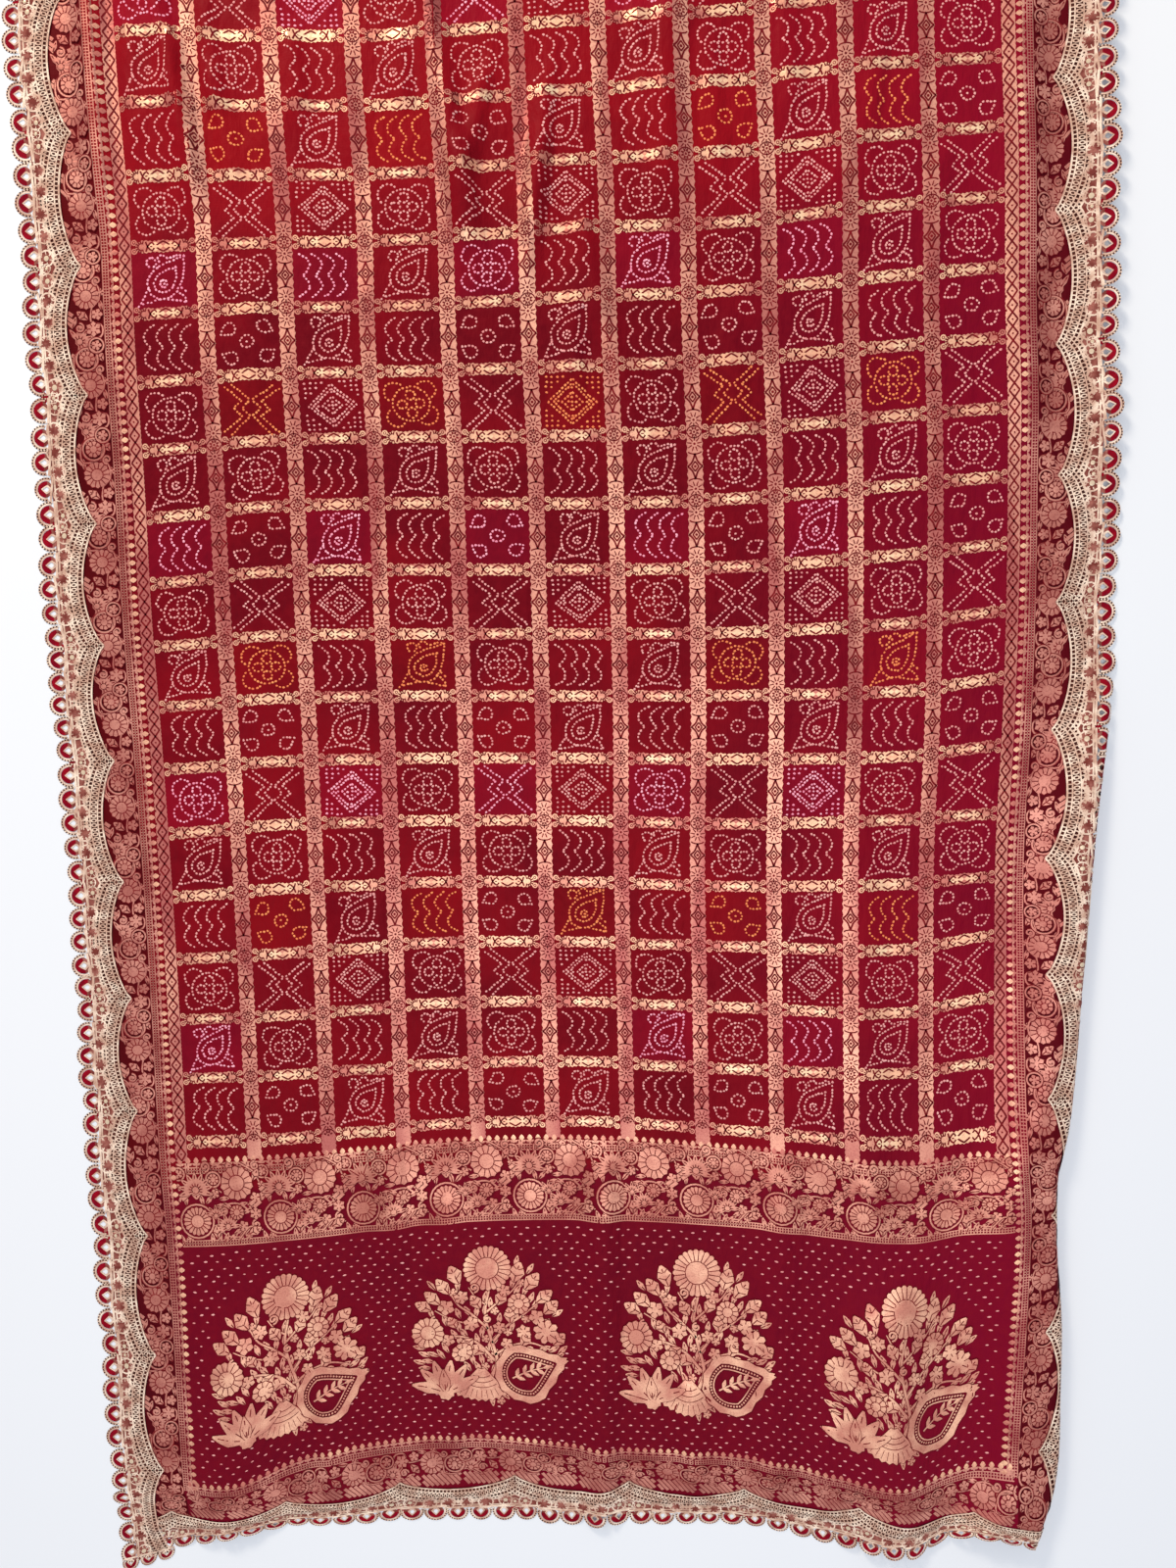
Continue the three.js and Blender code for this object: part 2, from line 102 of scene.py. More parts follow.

# %% [markdown]
# ## How it lies
# Spread silk keeps soft folds. They could be simulated, but a simulation never falls the same way as the
# cloth that is wanted, so they are listed in tables: where each weft line lies, the folds and finer creases,
# and the line along which the right edge turns under itself. Each fold is a soft ridge with a reach to
# either side.

# %% Tables of the lie
MARKS_ACROSS = [-470, -380, -300, -150, 0, 150, 320, 400, 470]
WEFT_LINES = [  # along, x of the middle, share of the flat width kept, y at each mark
    (-39, 27, 0.963, [-1133, -1107, -1101, -1096, -1102, -1102, -1133, -1104, -1116]),
    (24, 27, 0.965, [-1082, -1077, -1065, -1043, -1047, -1057, -1079, -1078, -1080]),
    (70, 24, 0.970, [-1052, -1049, -1022, -1001, -1014, -1023, -1053, -1031, -1020]),
    (314, 22, 0.985, [-800, -798, -791, -774, -771, -779, -796, -780, -768]),
    (398, 17, 0.985, [-712, -709, -705, -689, -686, -696, -713, -702, -696]),
    (446, 15, 0.984, [-659, -656, -653, -642, -639, -648, -653, -644, -640]),
    (573, 12, 0.983, [-538, -535, -531, -519, -518, -523, -528, -513, -510]),
    (700, 9, 0.985, [-415, -410, -403, -398, -398, -402, -398, -393, -390]),
    (827, 8, 0.995, [-290, -285, -279, -276, -276, -276, -273, -262, -257]),
    (954, 5, 1.002, [-173, -167, -158, -156, -156, -154, -143, -133, -128]),
    (1081, 2, 1.002, [-49, -43, -35, -31, -31, -26, -12, -6, -2]),
    (1208, -4, 0.999, [78, 83, 88, 91, 97, 103, 117, 123, 127]),
    (1335, -7, 0.996, [202, 206, 208, 211, 222, 228, 245, 251, 255]),
    (1462, -14, 0.996, [330, 334, 332, 333, 345, 354, 371, 374, 378]),
    (1589, -17, 0.996, [454, 458, 456, 458, 469, 477, 491, 494, 498]),
    (1850, -13, 0.995, [716, 719, 718, 720, 727, 733, 742, 745, 747]),
    (2216, -6, 0.992, [1080, 1081, 1082, 1083, 1086, 1089, 1093, 1094, 1094]),
    (2259, -6, 0.992, [1122, 1123, 1124, 1125, 1128, 1131, 1135, 1136, 1136]),
]
FOLDS = [  # from (across, along), to, reach to the left and right, height, how softly it ends
    ((-434, 1385), (-432, 1640), 22, 17, 7, 90),
    ((-398, 1430), (-392, 1640), 15, 26, 6, 80),
    ((-349, 1380), (-372, 1560), 26, 13, 9, 60),
    ((-262, 1420), (-268, 1640), 34, 30, 4, 110),
    ((-92, 1350), (-122, 1560), 30, 12, 10, 70),
    ((-34, 1290), (-14, 1420), 20, 12, 6, 60),
    ((6, 1190), (14, 1300), 22, 14, 5, 70),
    ((96, 1400), (112, 1640), 22, 32, 8, 110),
    ((262, 1330), (275, 1640), 40, 38, 4, 120),
    ((430, 1150), (432, 1600), 40, 28, 7, 120),
    ((-170, 1760), (-150, 2040), 46, 40, 5, 110),
    ((210, 1720), (190, 1990), 44, 50, 5, 120),
    ((-205, 330), (-212, 690), 34, 22, 5, 110),
    ((-150, 90), (-152, 300), 30, 20, 4, 70),
    ((4, -20), (8, 330), 32, 24, 7, 90),
    ((186, 60), (190, 330), 26, 30, 4, 80),
    ((284, 380), (274, 680), 26, 34, 4, 110),
    ((318, -30), (302, 230), 76, 58, 12, 90),
    ((-392, -30), (-384, 190), 58, 66, 9, 90),
]
CREASES = [  # finer ones, in the same order
    ((-360, 1475), (-350, 1395), 18, 9, 6.0, 30),
    ((-374, 1440), (-377, 1380), 14, 20, 3.6, 30),
    ((-328, 1515), (-323, 1446), 16, 9, 5.5, 30),
    ((-323, 1446), (-312, 1371), 20, 10, 4.5, 30),
    ((-249, 1482), (-245, 1434), 18, 7, 5.5, 22),
    ((-205, 1470), (-196, 1400), 22, 16, 3.0, 40),
    ((-148, 1482), (-146, 1440), 16, 8, 5.0, 22),
    ((-104, 1380), (-101, 1312), 26, 12, 5.0, 30),
    ((-70, 1442), (-85, 1378), 9, 18, 6.5, 26),
    ((-20, 1380), (-31, 1314), 10, 18, 5.5, 26),
    ((18, 1300), (25, 1233), 24, 10, 5.0, 34),
    ((25, 1233), (51, 1134), 26, 12, 4.5, 40),
    ((74, 1495), (76, 1405), 18, 10, 5.0, 30),
    ((138, 1456), (142, 1374), 18, 12, 4.0, 34),
    ((208, 1491), (214, 1419), 20, 12, 4.5, 30),
    ((300, 1465), (290, 1390), 14, 22, 4.0, 36),
    ((352, 1330), (346, 1260), 16, 24, 3.2, 40),
    ((-300, 1240), (-306, 1160), 24, 14, 3.4, 40),
    ((-190, 1250), (-182, 1180), 20, 16, 3.0, 40),
    ((150, 1190), (158, 1100), 24, 16, 3.4, 44),
    ((-60, 930), (-50, 820), 30, 18, 3.6, 50),
    ((-237, 723), (-240, 573), 30, 20, 4.0, 60),
    ((240, 960), (248, 840), 27, 20, 3.4, 50),
    ((60, 600), (68, 470), 30, 20, 3.6, 50),
    ((-286, 120), (-283, 40), 24, 16, 3.6, 30),
    ((96, 130), (101, 30), 27, 18, 3.8, 34),
    ((240, 110), (245, 20), 22, 27, 3.4, 30),
]
LIFTED_FROM, LIFTED_TO, LIFTED_FADE, LIFTED_STARTS, LIFTED_HEIGHT = 1120, 1560, 150, 462, 9
TURNED_EDGE = [  # along, across
    (-39, 453), (20, 462), (65, 473), (150, 471), (200, 469), (260, 463), (323, 458), (372, 462),
    (433, 476), (553, 486), (667, 494), (765, 500), (860, 512), (930, 530),
]
TURN_RADIUS, SWELL_RUNS_OUT, TURN_CLEARS = 7.0, 60.0, 0.5
SINKS_OVER = 8.0
print(len(FOLDS), "folds and", len(CREASES), "creases")

# %% [markdown]
# The tables become a surface in three steps: a plan of where each thread lies, the height of the folds over
# it, and the turned edge, which runs round a bend and back under the cloth.


# %% Curves through the tables
def soft_step(v):
    v = np.clip(v, 0, 1)
    return v * v * (3 - 2 * v)


def curve_at(marks, values, at):
    """A smooth curve through values at marks, straight beyond them. Values may have a row for each place."""
    marks, values = np.asarray(marks, float), np.asarray(values, float)
    slopes = np.zeros_like(values)
    slopes[..., 1:-1] = (values[..., 2:] - values[..., :-2]) / (marks[2:] - marks[:-2])
    slopes[..., 0] = (values[..., 1] - values[..., 0]) / (marks[1] - marks[0])
    slopes[..., -1] = (values[..., -1] - values[..., -2]) / (marks[-1] - marks[-2])
    inside = np.clip(at, marks[0], marks[-1])
    i = np.clip(np.searchsorted(marks, inside, side="right") - 1, 0, len(marks) - 2)
    span = marks[i + 1] - marks[i]
    u = (inside - marks[i]) / span
    row = (np.arange(len(at)),) if values.ndim == 2 else ()
    rise = soft_step(u)
    leave = u * (1 - u) ** 2 * span * slopes[(*row, i)]
    arrive = u**2 * (u - 1) * span * slopes[(*row, i + 1)]
    beyond = np.where(at < marks[0], slopes[..., 0], np.where(at > marks[-1], slopes[..., -1], 0))
    between = values[(*row, i)] * (1 - rise) + values[(*row, i + 1)] * rise
    return between + leave + arrive + beyond * (at - inside)


def plan(across, along):
    """Where a point of the flat cloth lies, seen from above."""
    marks = [line[0] for line in WEFT_LINES]
    ys = np.stack([curve_at(MARKS_ACROSS, line[3], across) for line in WEFT_LINES], -1)
    x = curve_at(marks, [line[1] for line in WEFT_LINES], along)
    x = x + curve_at(marks, [line[2] for line in WEFT_LINES], along) * across
    return x, curve_at(marks, ys, along)


def fold_height(fold, across, along):
    """How far one fold lifts the cloth."""
    (across0, along0), (across1, along1), left, right, height, fade = fold
    length = math.hypot(across1 - across0, along1 - along0)
    dir_across, dir_along = (across1 - across0) / length, (along1 - along0) / length
    run = (across - across0) * dir_across + (along - along0) * dir_along
    side = (across - across0) * dir_along - (along - along0) * dir_across
    flank = np.cos(np.pi / 2 * np.clip(np.abs(side) / np.where(side < 0, left, right), 0, 1)) ** 2
    return height * flank * soft_step(run / fade + 1) * soft_step((length - run) / fade + 1)


def turn_at(along):
    """The line where the right edge turns under, how far that lifts it, and how much is tucked in flat."""
    line = np.minimum(curve_at(*zip(*TURNED_EDGE), along), LACE_OUTER)
    opened = 1 - np.cos(np.minimum(np.pi, (LACE_OUTER - line) / TURN_RADIUS))
    lift = TURN_RADIUS * opened + (LACE_GAP + LACE_THICK + TURN_CLEARS) * opened / 2
    return line, lift, np.maximum(0, LACE_OUTER - line - np.pi * TURN_RADIUS)


def rest_height(across, along):
    """The height of the cloth's middle over the floor, before the right edge turns under."""
    height = CLOTH_THICK / 2 + sum(fold_height(fold, across, along) for fold in FOLDS + CREASES)
    lifted = soft_step((along - LIFTED_FROM) / LIFTED_FADE + 1)
    lifted = lifted * soft_step((LIFTED_TO - along) / LIFTED_FADE + 1)
    height += LIFTED_HEIGHT * lifted * soft_step((across - LIFTED_STARTS) / (LACE_OUTER - LIFTED_STARTS))
    past = np.maximum.reduce([np.abs(across) - CLOTH_HALF, -along, along - CLOTH_LENGTH, 0 * along])
    line, lift, tucked = turn_at(along)
    covers = soft_step((across - (line - tucked - SWELL_RUNS_OUT)) / SWELL_RUNS_OUT)
    sinks = (CLOTH_THICK + LACE_GAP) * soft_step(past / SINKS_OVER)
    return height - sinks * (1 - covers) + lift * covers


def laid(across, along):
    """The middle of the cloth in space, in mm. Past the turn line it runs round the bend and back."""
    line, _, _ = turn_at(along)
    past = np.maximum(across - line, 0)
    x, y = plan(np.minimum(across, line), along)
    top = rest_height(np.minimum(across, line), along)
    angle = np.minimum(np.pi, past / TURN_RADIUS)
    out = TURN_RADIUS * np.sin(angle) - np.maximum(0, past - np.pi * TURN_RADIUS)
    return np.stack([x + out, y, top - TURN_RADIUS * (1 - np.cos(angle))], -1)


# %% [markdown]
# ## Laying a piece
# Every drawn point could be put on the folds by itself, but then flat triangles would sink into the silk or
# float off it. So the folds are worked out once, at the corners of a fine net of facets. A drawn point
# finds its facet, and takes its place and its facing from the three corners. The silk is made of the same
# facets.

# %% The net of facets
MM = 0.001
MARGIN = 3.0  # how far the net runs past the lace
FINE_FROM = 437.0  # where the lines draw together for the turned edge
HALF_STEP = 0.5


def net_lines(stops, spans):
    """Lines from stop to stop, with so many spans in between."""
    parts = [np.linspace(a, b, n + 1)[1:] for a, b, n in zip(stops, stops[1:], spans)]
    return np.concatenate([stops[:1], *parts])


to_the_lace = LACE_PAST_EDGE + MARGIN
across_stops = [-LACE_OUTER - MARGIN, -CLOTH_HALF, FINE_FROM, CLOTH_HALF, LACE_OUTER + MARGIN]
NET_ACROSS = net_lines(across_stops, [8, 142, 18, 14])
NET_ALONG = net_lines([-to_the_lace, 0, CLOTH_LENGTH, CLOTH_LENGTH + to_the_lace], [5, 184, 5])
across, along = (a.ravel() for a in np.meshgrid(NET_ACROSS, NET_ALONG))
NET_SHAPE = (len(NET_ALONG), len(NET_ACROSS), 3)
NET_PLACE = laid(across, along).reshape(NET_SHAPE)
to_the_right = laid(across + HALF_STEP, along) - laid(across - HALF_STEP, along)
onwards = laid(across, along + HALF_STEP) - laid(across, along - HALF_STEP)
facing = np.cross(to_the_right, onwards)
NET_FACING = (facing / np.linalg.norm(facing, axis=-1, keepdims=True)).reshape(NET_SHAPE)
print("net of", len(across), "corners")


def lay(flat):
    """Drawn points (across, along, height over the cloth's middle, in mm) to places in space, in m."""
    i = np.clip(np.searchsorted(NET_ACROSS, flat[:, 0], side="right") - 1, 0, len(NET_ACROSS) - 2)
    j = np.clip(np.searchsorted(NET_ALONG, flat[:, 1], side="right") - 1, 0, len(NET_ALONG) - 2)
    u = (flat[:, 0] - NET_ACROSS[i]) / (NET_ACROSS[i + 1] - NET_ACROSS[i])
    v = (flat[:, 1] - NET_ALONG[j]) / (NET_ALONG[j + 1] - NET_ALONG[j])
    lower = u >= v
    shares = [np.minimum(u, v), np.where(lower, u - v, v - u), 1 - np.maximum(u, v)]
    mixed = []
    for net in (NET_PLACE, NET_FACING):
        side = np.where(lower[:, None], net[j, i + 1], net[j + 1, i])
        mixed.append(sum(s[:, None] * c for s, c in zip(shares, (net[j + 1, i + 1], side, net[j, i]))))
    return (mixed[0] + mixed[1] * flat[:, 2:3]) * MM


# %% [markdown]
# ## Materials
# The silk is a fine plain weave with a soft sheen, a little crinkled where the dots were tied. Zari is a
# flat metal-wrapped thread that floats on the silk, so it shines in patches that turn from rose to pale
# gold. The lace is cotton and metal thread on a wine-coloured net. All colours are made by noise and not by
# pictures, and are placed by the flat position of each point, which every piece keeps in an attribute, so
# that they follow the cloth over its folds.


# %% Material helpers
def srgb(code):
    """A hex colour, as a linear colour."""
    parts = [int(code[i : i + 2], 16) / 255 for i in (0, 2, 4)]
    return (*(p / 12.92 if p <= 0.04045 else ((p + 0.055) / 1.055) ** 2.4 for p in parts), 1)


def add(tree, kind, inputs, out=0, **settings):
    """Adds a node with its settings, sets or links its inputs, and gives back one of its outputs."""
    node = tree.nodes.new("ShaderNode" + kind)
    for name, value in settings.items():
        setattr(node, name, value)
    for socket, value in (inputs if isinstance(inputs, dict) else dict(enumerate(inputs))).items():
        if isinstance(value, bpy.types.NodeSocket):
            tree.links.new(value, node.inputs[socket])
        else:
            node.inputs[socket].default_value = value
    return node.outputs[out]


def finish(name, **sockets):
    """A new material with a Principled shader, and the flat position as a vector."""
    material = bpy.data.materials.new(name)
    material.use_nodes = True
    tree = material.node_tree
    shader = tree.nodes["Principled BSDF"]
    for socket, value in sockets.items():
        shader.inputs[socket.replace("_", " ")].default_value = value
    return material, tree, shader, add(tree, "Attribute", [], "Vector", attribute_name="flat")


def per_metre(size_mm):
    """The Scale of a noise whose patches are about size_mm across."""
    return 1000 / size_mm


# %% [markdown]
# Plain-woven silk, dyed crimson. The dye took unevenly, in broad clouds and fine mottling, and painted light
# lies over it: bright over the far part of the cloth, weaker over the near part, with painted shade across
# the middle between them. It is wine in the end panel, rosier along the right side, and darker beside the
# grid, where the zari of the borders lies behind it. Its threads lie 0.25 mm apart on the real cloth, and are
# drawn
# 2.4 mm apart so that they show. Squares that were dyed again have silk of their own.

# %% The silk
THREAD_SPACING = 2.375
WAVE_LENGTH = 2 * math.pi / 20  # of a wave texture of scale 1, in metres
CLOUD, MOTTLE, CRINKLE = 120, 8, 16  # mm
# Where painted light and shade lie, in metres along the cloth: light rises over the first pair, and the
# weaker light of the near part fades into painted shade over the second.
PAINTED_LIGHT_FROM, PAINTED_LIGHT_TO = 1.20, 1.42  # metres along the cloth
PAINTED_SHADE_NEAR, PAINTED_SHADE_FAR = 0.80, 1.05
PANEL_ENDS = 0.37
BESIDE_GRID = 0.4380


def dyed_silk(name, dark, bright, mottled):
    """Silk whose layers of painted light and of dye are blended one over another, from the darkest ground up.
    """
    material, tree, shader, flat = finish(name, Roughness=0.55, Specular_IOR_Level=0.04)
    x, y, _ = add(tree, "SeparateXYZ", [flat]).node.outputs
    clouds = add(tree, "TexNoise", {"Vector": flat, "Scale": per_metre(CLOUD), "Detail": 3})
    mottle = add(tree, "TexNoise", {"Vector": flat, "Scale": per_metre(MOTTLE), "Detail": 3})
    # Painted light and shade along the cloth, over random clouds of dye, lift the ground towards the bright
    # red.
    light = [
        add(tree, "MapRange", [y, PAINTED_LIGHT_FROM, PAINTED_LIGHT_TO]),
        add(tree, "MapRange", [y, PAINTED_SHADE_FAR, PAINTED_SHADE_NEAR, 0, 0.35]),
        add(tree, "MapRange", [clouds, 0.35, 0.65, -0.3, 0.4]),
    ]
    light = add(tree, "Math", [add(tree, "Math", light[:2], operation="ADD"), light[2]], operation="ADD")
    to_the_side = add(tree, "Math", [x], operation="ABSOLUTE")
    ground = srgb(dark)
    for share, colour in (
        (light, bright),
        (add(tree, "MapRange", [y, PANEL_ENDS + 0.005, PANEL_ENDS - 0.005, 0, 0.75]), "64041e"),
        (add(tree, "MapRange", [x, 0.10, 0.42, 0, 0.6]), "7e0528"),
        (add(tree, "MapRange", [mottle, 0.35, 0.75, 0, 0.32]), mottled),
        (add(tree, "MapRange", [to_the_side, BESIDE_GRID, BESIDE_GRID + 0.0015, 0, 0.75]), "400408"),
    ):
        ground = add(tree, "Mix", {0: share, 6: ground, 7: srgb(colour)}, 2, data_type="RGBA")
    tree.links.new(ground, shader.inputs["Base Color"])
    stretched = add(tree, "VectorMath", [flat, (1.7, 0.6, 1)], operation="MULTIPLY")
    crinkle = add(tree, "TexNoise", {"Vector": stretched, "Scale": per_metre(CRINKLE), "Detail": 3})
    normal = add(tree, "Bump", {"Height": crinkle, "Distance": 3.0 * MM, "Strength": 0.8})
    scale = per_metre(THREAD_SPACING) * WAVE_LENGTH
    for axis in ("X", "Y"):
        threads = add(tree, "TexWave", {"Vector": flat, "Scale": scale}, "Fac", bands_direction=axis)
        ridges = {"Height": threads, "Distance": 0.05 * MM, "Strength": 0.3, "Normal": normal}
        normal = add(tree, "Bump", ridges)
    tree.links.new(normal, shader.inputs["Normal"])
    return material


SILKS = [
    dyed_silk("dyed_silk_crimson", "620312", "880715", "7e0e1c"),
    dyed_silk("dyed_silk_magenta", "6c041a", "8e081e", "860c22"),
    dyed_silk("dyed_silk_orange", "680410", "8c0814", "840e18"),
]


# %% [markdown]
# Zari, cotton cord, felt and undyed dots are all threads: each turns from one colour to another in patches
# and has a fine grain of its floats, so one function makes them. Zari is satin and only partly metallic,
# because the metal is wound round silk, and it is rose in the shade and pale gold where it faces the light.


# %% Threads
def thread(name, colours, patch_mm, grain_colour, grain_mm=1.6, stretch=(1, 1, 1), **sockets):
    """A thread of two colours in patches, a painted sheen on zari and lace cord, with a fine grain of its
    floats.
    """
    material, tree, shader, flat = finish(name, **sockets)
    stretched = add(tree, "VectorMath", [flat, stretch], operation="MULTIPLY")
    # The patches are a painted sheen on zari and on the lace cord.
    sheen_and_tone = add(tree, "TexNoise", {"Vector": stretched, "Scale": per_metre(patch_mm), "Detail": 2})
    grain = add(tree, "TexNoise", {"Vector": flat, "Scale": per_metre(grain_mm), "Detail": 1})
    colour = srgb(colours[0])
    for share, over in (
        (add(tree, "MapRange", [sheen_and_tone, 0.40, 0.66]), colours[1]),
        (add(tree, "MapRange", [grain, 0.48, 0.8, 0, 0.45]), grain_colour),
    ):
        colour = add(tree, "Mix", {0: share, 6: colour, 7: srgb(over)}, 2, data_type="RGBA")
    tree.links.new(colour, shader.inputs["Base Color"])
    floats = add(tree, "Bump", {"Height": grain, "Distance": 0.15 * MM, "Strength": 0.6})
    tree.links.new(floats, shader.inputs["Normal"])
    return material


def dull(roughness, gloss=0.05):
    return dict(Roughness=roughness, Specular_IOR_Level=gloss)


METAL = dict(Roughness=0.42, Metallic=0.45, Specular_IOR_Level=0.2)
zari_long = thread("zari_lengthwise", ("b6645e", "f6b49a"), 55, "8a2a30", stretch=(1, 0.3, 1), **METAL)
# Paler copies of the lengthwise zari: a painted highlight on the crosswise bands and on the long bright
# floats.
zari_cross = thread("zari_crosswise", ("c67468", "fac4a0"), 30, "8a2a30", stretch=(0.45, 1, 1), **METAL)
zari_bright = thread("zari_bright_float", ("f0b090", "ffdcb4"), 26, "d08c74", **METAL)
zari_flowers = thread("zari_flowers", ("b0665c", "da9484"), 42, "74202a", **METAL)
zari_end = thread("zari_end_band", ("ba7062", "eaa48e"), 42, "7a242c", **METAL)
zari_spray = thread("zari_spray", ("d08876", "fac0a2"), 26, "8a3a38", **METAL)
# The dyed silk left between the floats, which draws the outlines.
outline = thread("outline_silk", ("600e16", "7c181e"), 9, "74081a", **dull(0.6))
# Dots that the dye did not reach, and those dyed again: matt, because the tie crushed the silk.
DOTS = {
    "pink": thread("dot_pink", ("da8a8a", "eeb0ac"), 9, "c06e72", 2.0, **dull(0.65, 0.1)),
    "magenta": thread("dot_magenta", ("ea8ca6", "fab8ca"), 9, "d46c8c", 2.0, **dull(0.65, 0.1)),
    "orange": thread("dot_orange", ("e27a4c", "f29a60"), 9, "c8543c", 2.0, **dull(0.65, 0.1)),
}
# Lace: cream cord with glints, felt crescents, pearly sequins, and the net it is worked on.
lace_cream = thread("lace_cream_cord", ("c8a08c", "f8e0cc"), 12, "94685a", 1.1, **dull(0.5, 0.2))
lace_felt = thread("lace_wine_felt", ("78041a", "94081e"), 8, "500612", **dull(0.75))
lace_net = thread("lace_wine_net", ("381410", "5a2a22"), 9, "2c0c0a", 1.2, **dull(0.8))
lace_rose = thread("lace_rose_net", ("743630", "a2645a"), 9, "642c28", **dull(0.8))
PEARLY = dict(Base_Color=srgb("d8c0a4"), Roughness=0.3, Metallic=0.2, Coat_Weight=0.2)
lace_pearl, *_ = finish("sequin_pearl", **PEARLY)
print(len(bpy.data.materials), "materials")

# %% [markdown]
# ## Drawing shapes
# A shape is a small flat mesh that knows which thread each of its triangles is made of. The basic ones are
# made by bmesh operators: a disc is a capped circle with its middle raised a little, a ring is circles
# bridged together, and a stroke is a strip of grid bent along a path. Figures are put together from them
# the way the loom makes them, as solid floats of zari with the outlines drawn over them in the colour of
# the ground.

# %% Basic shapes
GROUND, OUTLINE, BRIGHT = 0, 1, 2
LINE = 1.6  # the width of a drawn outline
OVER = 0.14  # how far it lies over the floats


def upwards(shape):
    """Turns over the triangles that face down."""
    corners, triangles, threads = shape
    along = corners[triangles[:, 1]] - corners[triangles[:, 0]]
    up = corners[triangles[:, 2]] - corners[triangles[:, 0]]
    over = (along[:, 0] * up[:, 1] < along[:, 1] * up[:, 0])[:, None]
    return corners, np.where(over, triangles[:, ::-1], triangles), threads


def taken(bm):
    """A bmesh as a shape: its corners, its triangles facing up, and the thread of each."""
    bmesh.ops.triangulate(bm, faces=bm.faces)
    bm.verts.index_update()
    corners = np.array([v.co for v in bm.verts], float).reshape(-1, 3)
    triangles = np.array([[v.index for v in f.verts] for f in bm.faces], int).reshape(-1, 3)
    bm.free()
    return upwards((corners, triangles, np.full(len(triangles), GROUND)))


def disc(radius=1.0, sides=8, dome=0.2):
    bm = bmesh.new()
    bmesh.ops.create_circle(bm, cap_ends=True, cap_tris=True, segments=sides, radius=radius)
    for v in bm.verts:
        v.co.z = dome if v.co.xy.length < radius / 2 else 0
    return taken(bm)


def lobed(radius, lobes, depth=0.14, dome=0.25):
    """A disc with a notched rim; the first notch is at angle 0."""
    corners, triangles, threads = disc(radius, 3 * lobes, dome)
    angle = np.arctan2(corners[:, 1], corners[:, 0])
    inwards = 1 - depth * (0.5 + 0.5 * np.cos(lobes * angle))
    return corners * np.stack([inwards, inwards, 1 + 0 * inwards], -1), triangles, threads


def drawn_out(shape, length, width, tip=0.0):
    """A round shape of radius 1 stretched from its base at the origin to a tip at (length, 0)."""
    corners, triangles, threads = shape
    x, y = corners[:, 0], corners[:, 1]
    narrowed = y * (1 - 0.45 * np.clip(-x, 0, 1)) * (1 - tip * np.clip(x, 0, 1))
    return np.stack([(x + 1) / 2 * length, narrowed * width / 2, corners[:, 2]], -1), triangles, threads


def ring(outer, thick, sides=16):
    bm = bmesh.new()
    for radius in (outer, outer - thick):
        bmesh.ops.create_circle(bm, segments=sides, radius=radius)
    bmesh.ops.bridge_loops(bm, edges=bm.edges[:])
    return taken(bm)


def strip(*sides):
    """A strip of grid whose long lines run along the given paths, which lie flat if they say no height."""
    sides = np.array(sides, float)
    if sides.shape[2] == 2:
        sides = np.concatenate([sides, 0 * sides[..., :1]], -1)
    last_side, last_point = len(sides) - 1, sides.shape[1] - 1
    bm = bmesh.new()
    bmesh.ops.create_grid(bm, x_segments=last_point, y_segments=last_side, size=1)
    for v in bm.verts:
        v.co = sides[round((v.co.y + 1) / 2 * last_side), round((v.co.x + 1) / 2 * last_point)]
    return taken(bm)


def stroke(path, width=LINE, tip=1.0, dome=0.0):
    """A ribbon along a path. Its width is a number, narrowing to tip of itself, or one for each point."""
    path = np.asarray(path, float)
    heading = np.gradient(path, axis=0)
    sideways = np.stack([-heading[:, 1], heading[:, 0]], -1)
    sideways /= np.linalg.norm(sideways, axis=1, keepdims=True)
    half = np.linspace(width, width * tip, len(path)) / 2 if np.isscalar(width) else np.asarray(width) / 2
    rows = [(-1, 0), (0, dome), (1, 0)] if dome else [(-1, 0), (1, 0)]
    sideways = sideways * half[:, None]
    return strip(*(np.column_stack([path + sideways * k, height + 0 * half]) for k, height in rows))


# %% [markdown]
# Shapes are then put together: moved, mirrored, copied in rows and rings, and cut off at an edge. Array and
# Mirror modifiers could do this one object at a time. Plain functions are quicker for thousands of copies,
# and leave one joined mesh for each piece.


# %% Putting shapes together
def put(shape, x=0.0, y=0.0, turn=0.0, size=1.0, flip=False, lift=0.0):
    """A copy of a shape, mirrored left to right if asked, then turned by degrees, sized and moved."""
    corners, triangles, threads = shape
    c, s = math.cos(math.radians(turn)) * size, math.sin(math.radians(turn)) * size
    px, py, pz = corners.T * ((-1 if flip else 1,), (1,), (1,))
    moved = np.stack([px * c - py * s + x, px * s + py * c + y, pz + lift], -1)
    return moved, triangles[:, ::-1] if flip else triangles, threads


def in_thread(shape, number, lift=0.0):
    """A shape made of another thread."""
    corners, triangles, threads = put(shape, lift=lift)
    return corners, triangles, np.full(len(threads), number)


def drawn(*shapes):
    """Shapes as outlines, over the floats."""
    return in_thread(join(*shapes), OUTLINE, OVER)


def join(*shapes):
    corners, triangles, threads = zip(*shapes)
    starts = np.cumsum([0] + [len(c) for c in corners[:-1]])
    triangles = [t + n for t, n in zip(triangles, starts)]
    return np.concatenate(corners), np.concatenate(triangles), np.concatenate(threads)


